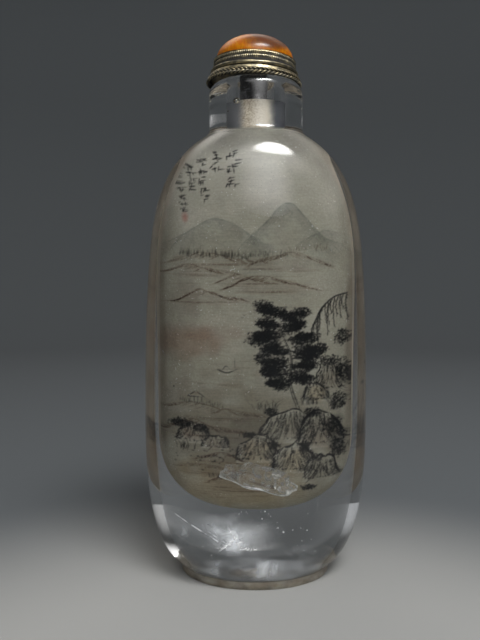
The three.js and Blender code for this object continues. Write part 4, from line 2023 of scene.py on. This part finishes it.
@dataclass(frozen=True)
class Lamp:
    """A soft rectangular lamp that faces the bottle and dims towards its edge.

    Attributes:
        name: Its name.
        heading: Its bearing from the front towards +X and its height, in degrees.
        far: Its distance in metres.
        size: Width and height, in metres.
        radiance: How bright its middle is, in watts per square metre and steradian.
        core: The evenly bright middle's radius, as a share of its size.
        colour: Its light's colour.
    """

    name: str
    heading: Range
    far: float
    size: Range
    radiance: float
    core: float = 0.1
    colour: Colour = (1, 1, 1)

    def fade(self, tree: bpy.types.NodeTree) -> None:
        """Dims its face from the evenly bright middle to its edge."""
        spot = tree.nodes.new("ShaderNodeNewGeometry")
        offset = tree.nodes.new("ShaderNodeVectorMath")
        offset.operation = "DISTANCE"
        offset.inputs[1].default_value = (0.5, 0.5, 0.0)
        dim = tree.nodes.new("ShaderNodeMapRange")
        dim.interpolation_type = "SMOOTHSTEP"
        dim.inputs["From Min"].default_value = 0.5
        dim.inputs["From Max"].default_value = self.core
        tree.links.new(spot.outputs["Parametric"], offset.inputs[0])
        tree.links.new(offset.outputs["Value"], dim.inputs["Value"])
        tree.links.new(dim.outputs["Result"], tree.nodes["Emission"].inputs["Strength"])

    def hang(self, aim: Vector) -> None:
        """Hangs the lamp so that it faces a point."""
        side, rise = (math.radians(angle) for angle in self.heading)
        away = Vector(
            (math.sin(side) * math.cos(rise), -math.cos(side) * math.cos(rise), math.sin(rise))
        )
        width, height = self.size
        data = bpy.data.lights.new(self.name, "AREA")
        data.shape = "RECTANGLE"
        data.size, data.size_y = self.size
        data.energy = self.radiance * math.pi * width * height
        data.color = self.colour
        data.use_nodes = True
        self.fade(data.node_tree)
        made = bpy.data.objects.new(self.name, data)
        made.location = aim + away * self.far
        made.rotation_euler = (-away).to_track_quat("-Z", "Y").to_euler()
        bpy.context.scene.collection.objects.link(made)


@dataclass
class Studio:
    """Round sweep, lamps and camera."""

    pale: Colour = (0.30, 0.30, 0.29)
    dusk: Colour = (0.082, 0.090, 0.096)
    # The floor's painted spot of light: its shift towards the camera and the radii over which it
    # fades.
    painted_light_pool_shift: float = 60.0
    painted_light_pool_edge: Range = (48.0, 105.0)
    flat: float = 0.08
    floor_radius: float = 0.34
    bend: float = 0.22
    wall: float = 0.75
    eye: Place = (-2.67, -112.25, 51.92)
    pitch: float = 4.136
    lens: float = 36.5625
    aim: Place = (0, 0, 0.06)
    sky: Colour = (0.55, 0.6, 0.65)
    sky_strength: float = 0.22
    lamps: tuple[Lamp, ...] = (
        Lamp("window", (27, 56), 0.50, (0.38, 0.19), 26.0, 0.17),
        Lamp("window_surround", (14, 50), 0.52, (0.80, 0.42), 3.0),
        Lamp("window_low", (9, 26), 0.54, (0.46, 0.46), 3.3, 0.05),
        Lamp("right_fill", (68, 8), 0.53, (0.40, 0.44), 0.32),
        Lamp("left_fill", (-64, 8), 0.53, (0.40, 0.44), 0.32, colour=(0.93, 0.96, 1.0)),
        Lamp("left_back", (-150, 54), 0.55, (0.80, 0.45), 1.5, colour=(1.0, 0.95, 0.88)),
        Lamp("right_back", (150, 54), 0.55, (0.80, 0.45), 0.5, colour=(1.0, 0.95, 0.88)),
    )

    def camera(self) -> None:
        """Sets the camera."""
        data = bpy.data.cameras.new("camera")
        data.lens = self.lens
        data.sensor_width = 36.0
        data.clip_start = 0.005
        data.clip_end = 20.0
        made = bpy.data.objects.new("camera", data)
        made.location = [v * MM for v in self.eye]
        made.rotation_euler = (math.radians(90 - self.pitch), 0, 0)
        bpy.context.scene.collection.objects.link(made)
        bpy.context.scene.camera = made

    def sweep(self) -> None:
        """Lays a round floor that curves up into a wall on every side: pale in a painted spot of
        light in front of the bottle, fading to dusky beyond it.
        """
        shape = bmesh.new()
        reach, bend = self.floor_radius, self.bend
        angles = np.linspace(0, math.pi / 2, 17)
        curve = [(reach + bend * math.sin(t), bend * (1 - math.cos(t))) for t in angles]
        line = [(0, 0), (self.flat, 0), *curve, (reach + bend, self.wall)]
        section_line(shape, [(r / MM, z / MM) for r, z in line])
        turn(shape, 96)
        bmesh.ops.reverse_faces(shape, faces=shape.faces)
        g = Graph("studio_sweep", roughness=0.9)
        across, along, _ = g.axes()
        # Pale in a painted spot of light in front of the bottle, fading to dusk further out.
        ahead = along + self.painted_light_pool_shift
        far = (across * across + ahead * ahead) ** 0.5
        g.feed(base_color=g.mix(far.step(*self.painted_light_pool_edge), self.pale, self.dusk))
        made = piece("sweep", shape, g, SMOOTH)

    def build(self) -> None:
        """Sets up everything around the bottle."""
        scene = bpy.context.scene
        self.camera()
        self.sweep()
        scene.world = bpy.data.worlds.new("studio")
        scene.world.use_nodes = True
        colour, strength = scene.world.node_tree.nodes["Background"].inputs[:2]
        colour.default_value = (*self.sky, 1)
        strength.default_value = self.sky_strength
        for lamp in self.lamps:
            lamp.hang(Vector(self.aim))
        scene.view_settings.view_transform = "Standard"
        scene.view_settings.look = "None"


def main() -> None:
    """Builds the pieces in order and reports each."""
    logging.basicConfig(level=logging.INFO, format="%(name)s: %(message)s")
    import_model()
    Studio().build()
    crystal = Crystal()
    crystal.build()
    front, back = (PaintSheet(seed) for seed in (11, 12))
    Landscape(front).front()
    Landscape(back).back()
    Lining(crystal.form).build(PaintedWall().graph(), {Face.FRONT: front, Face.BACK: back})
    Flaws(crystal.form).build()
    Stopper().build()


if __name__ == "__main__":
    main()
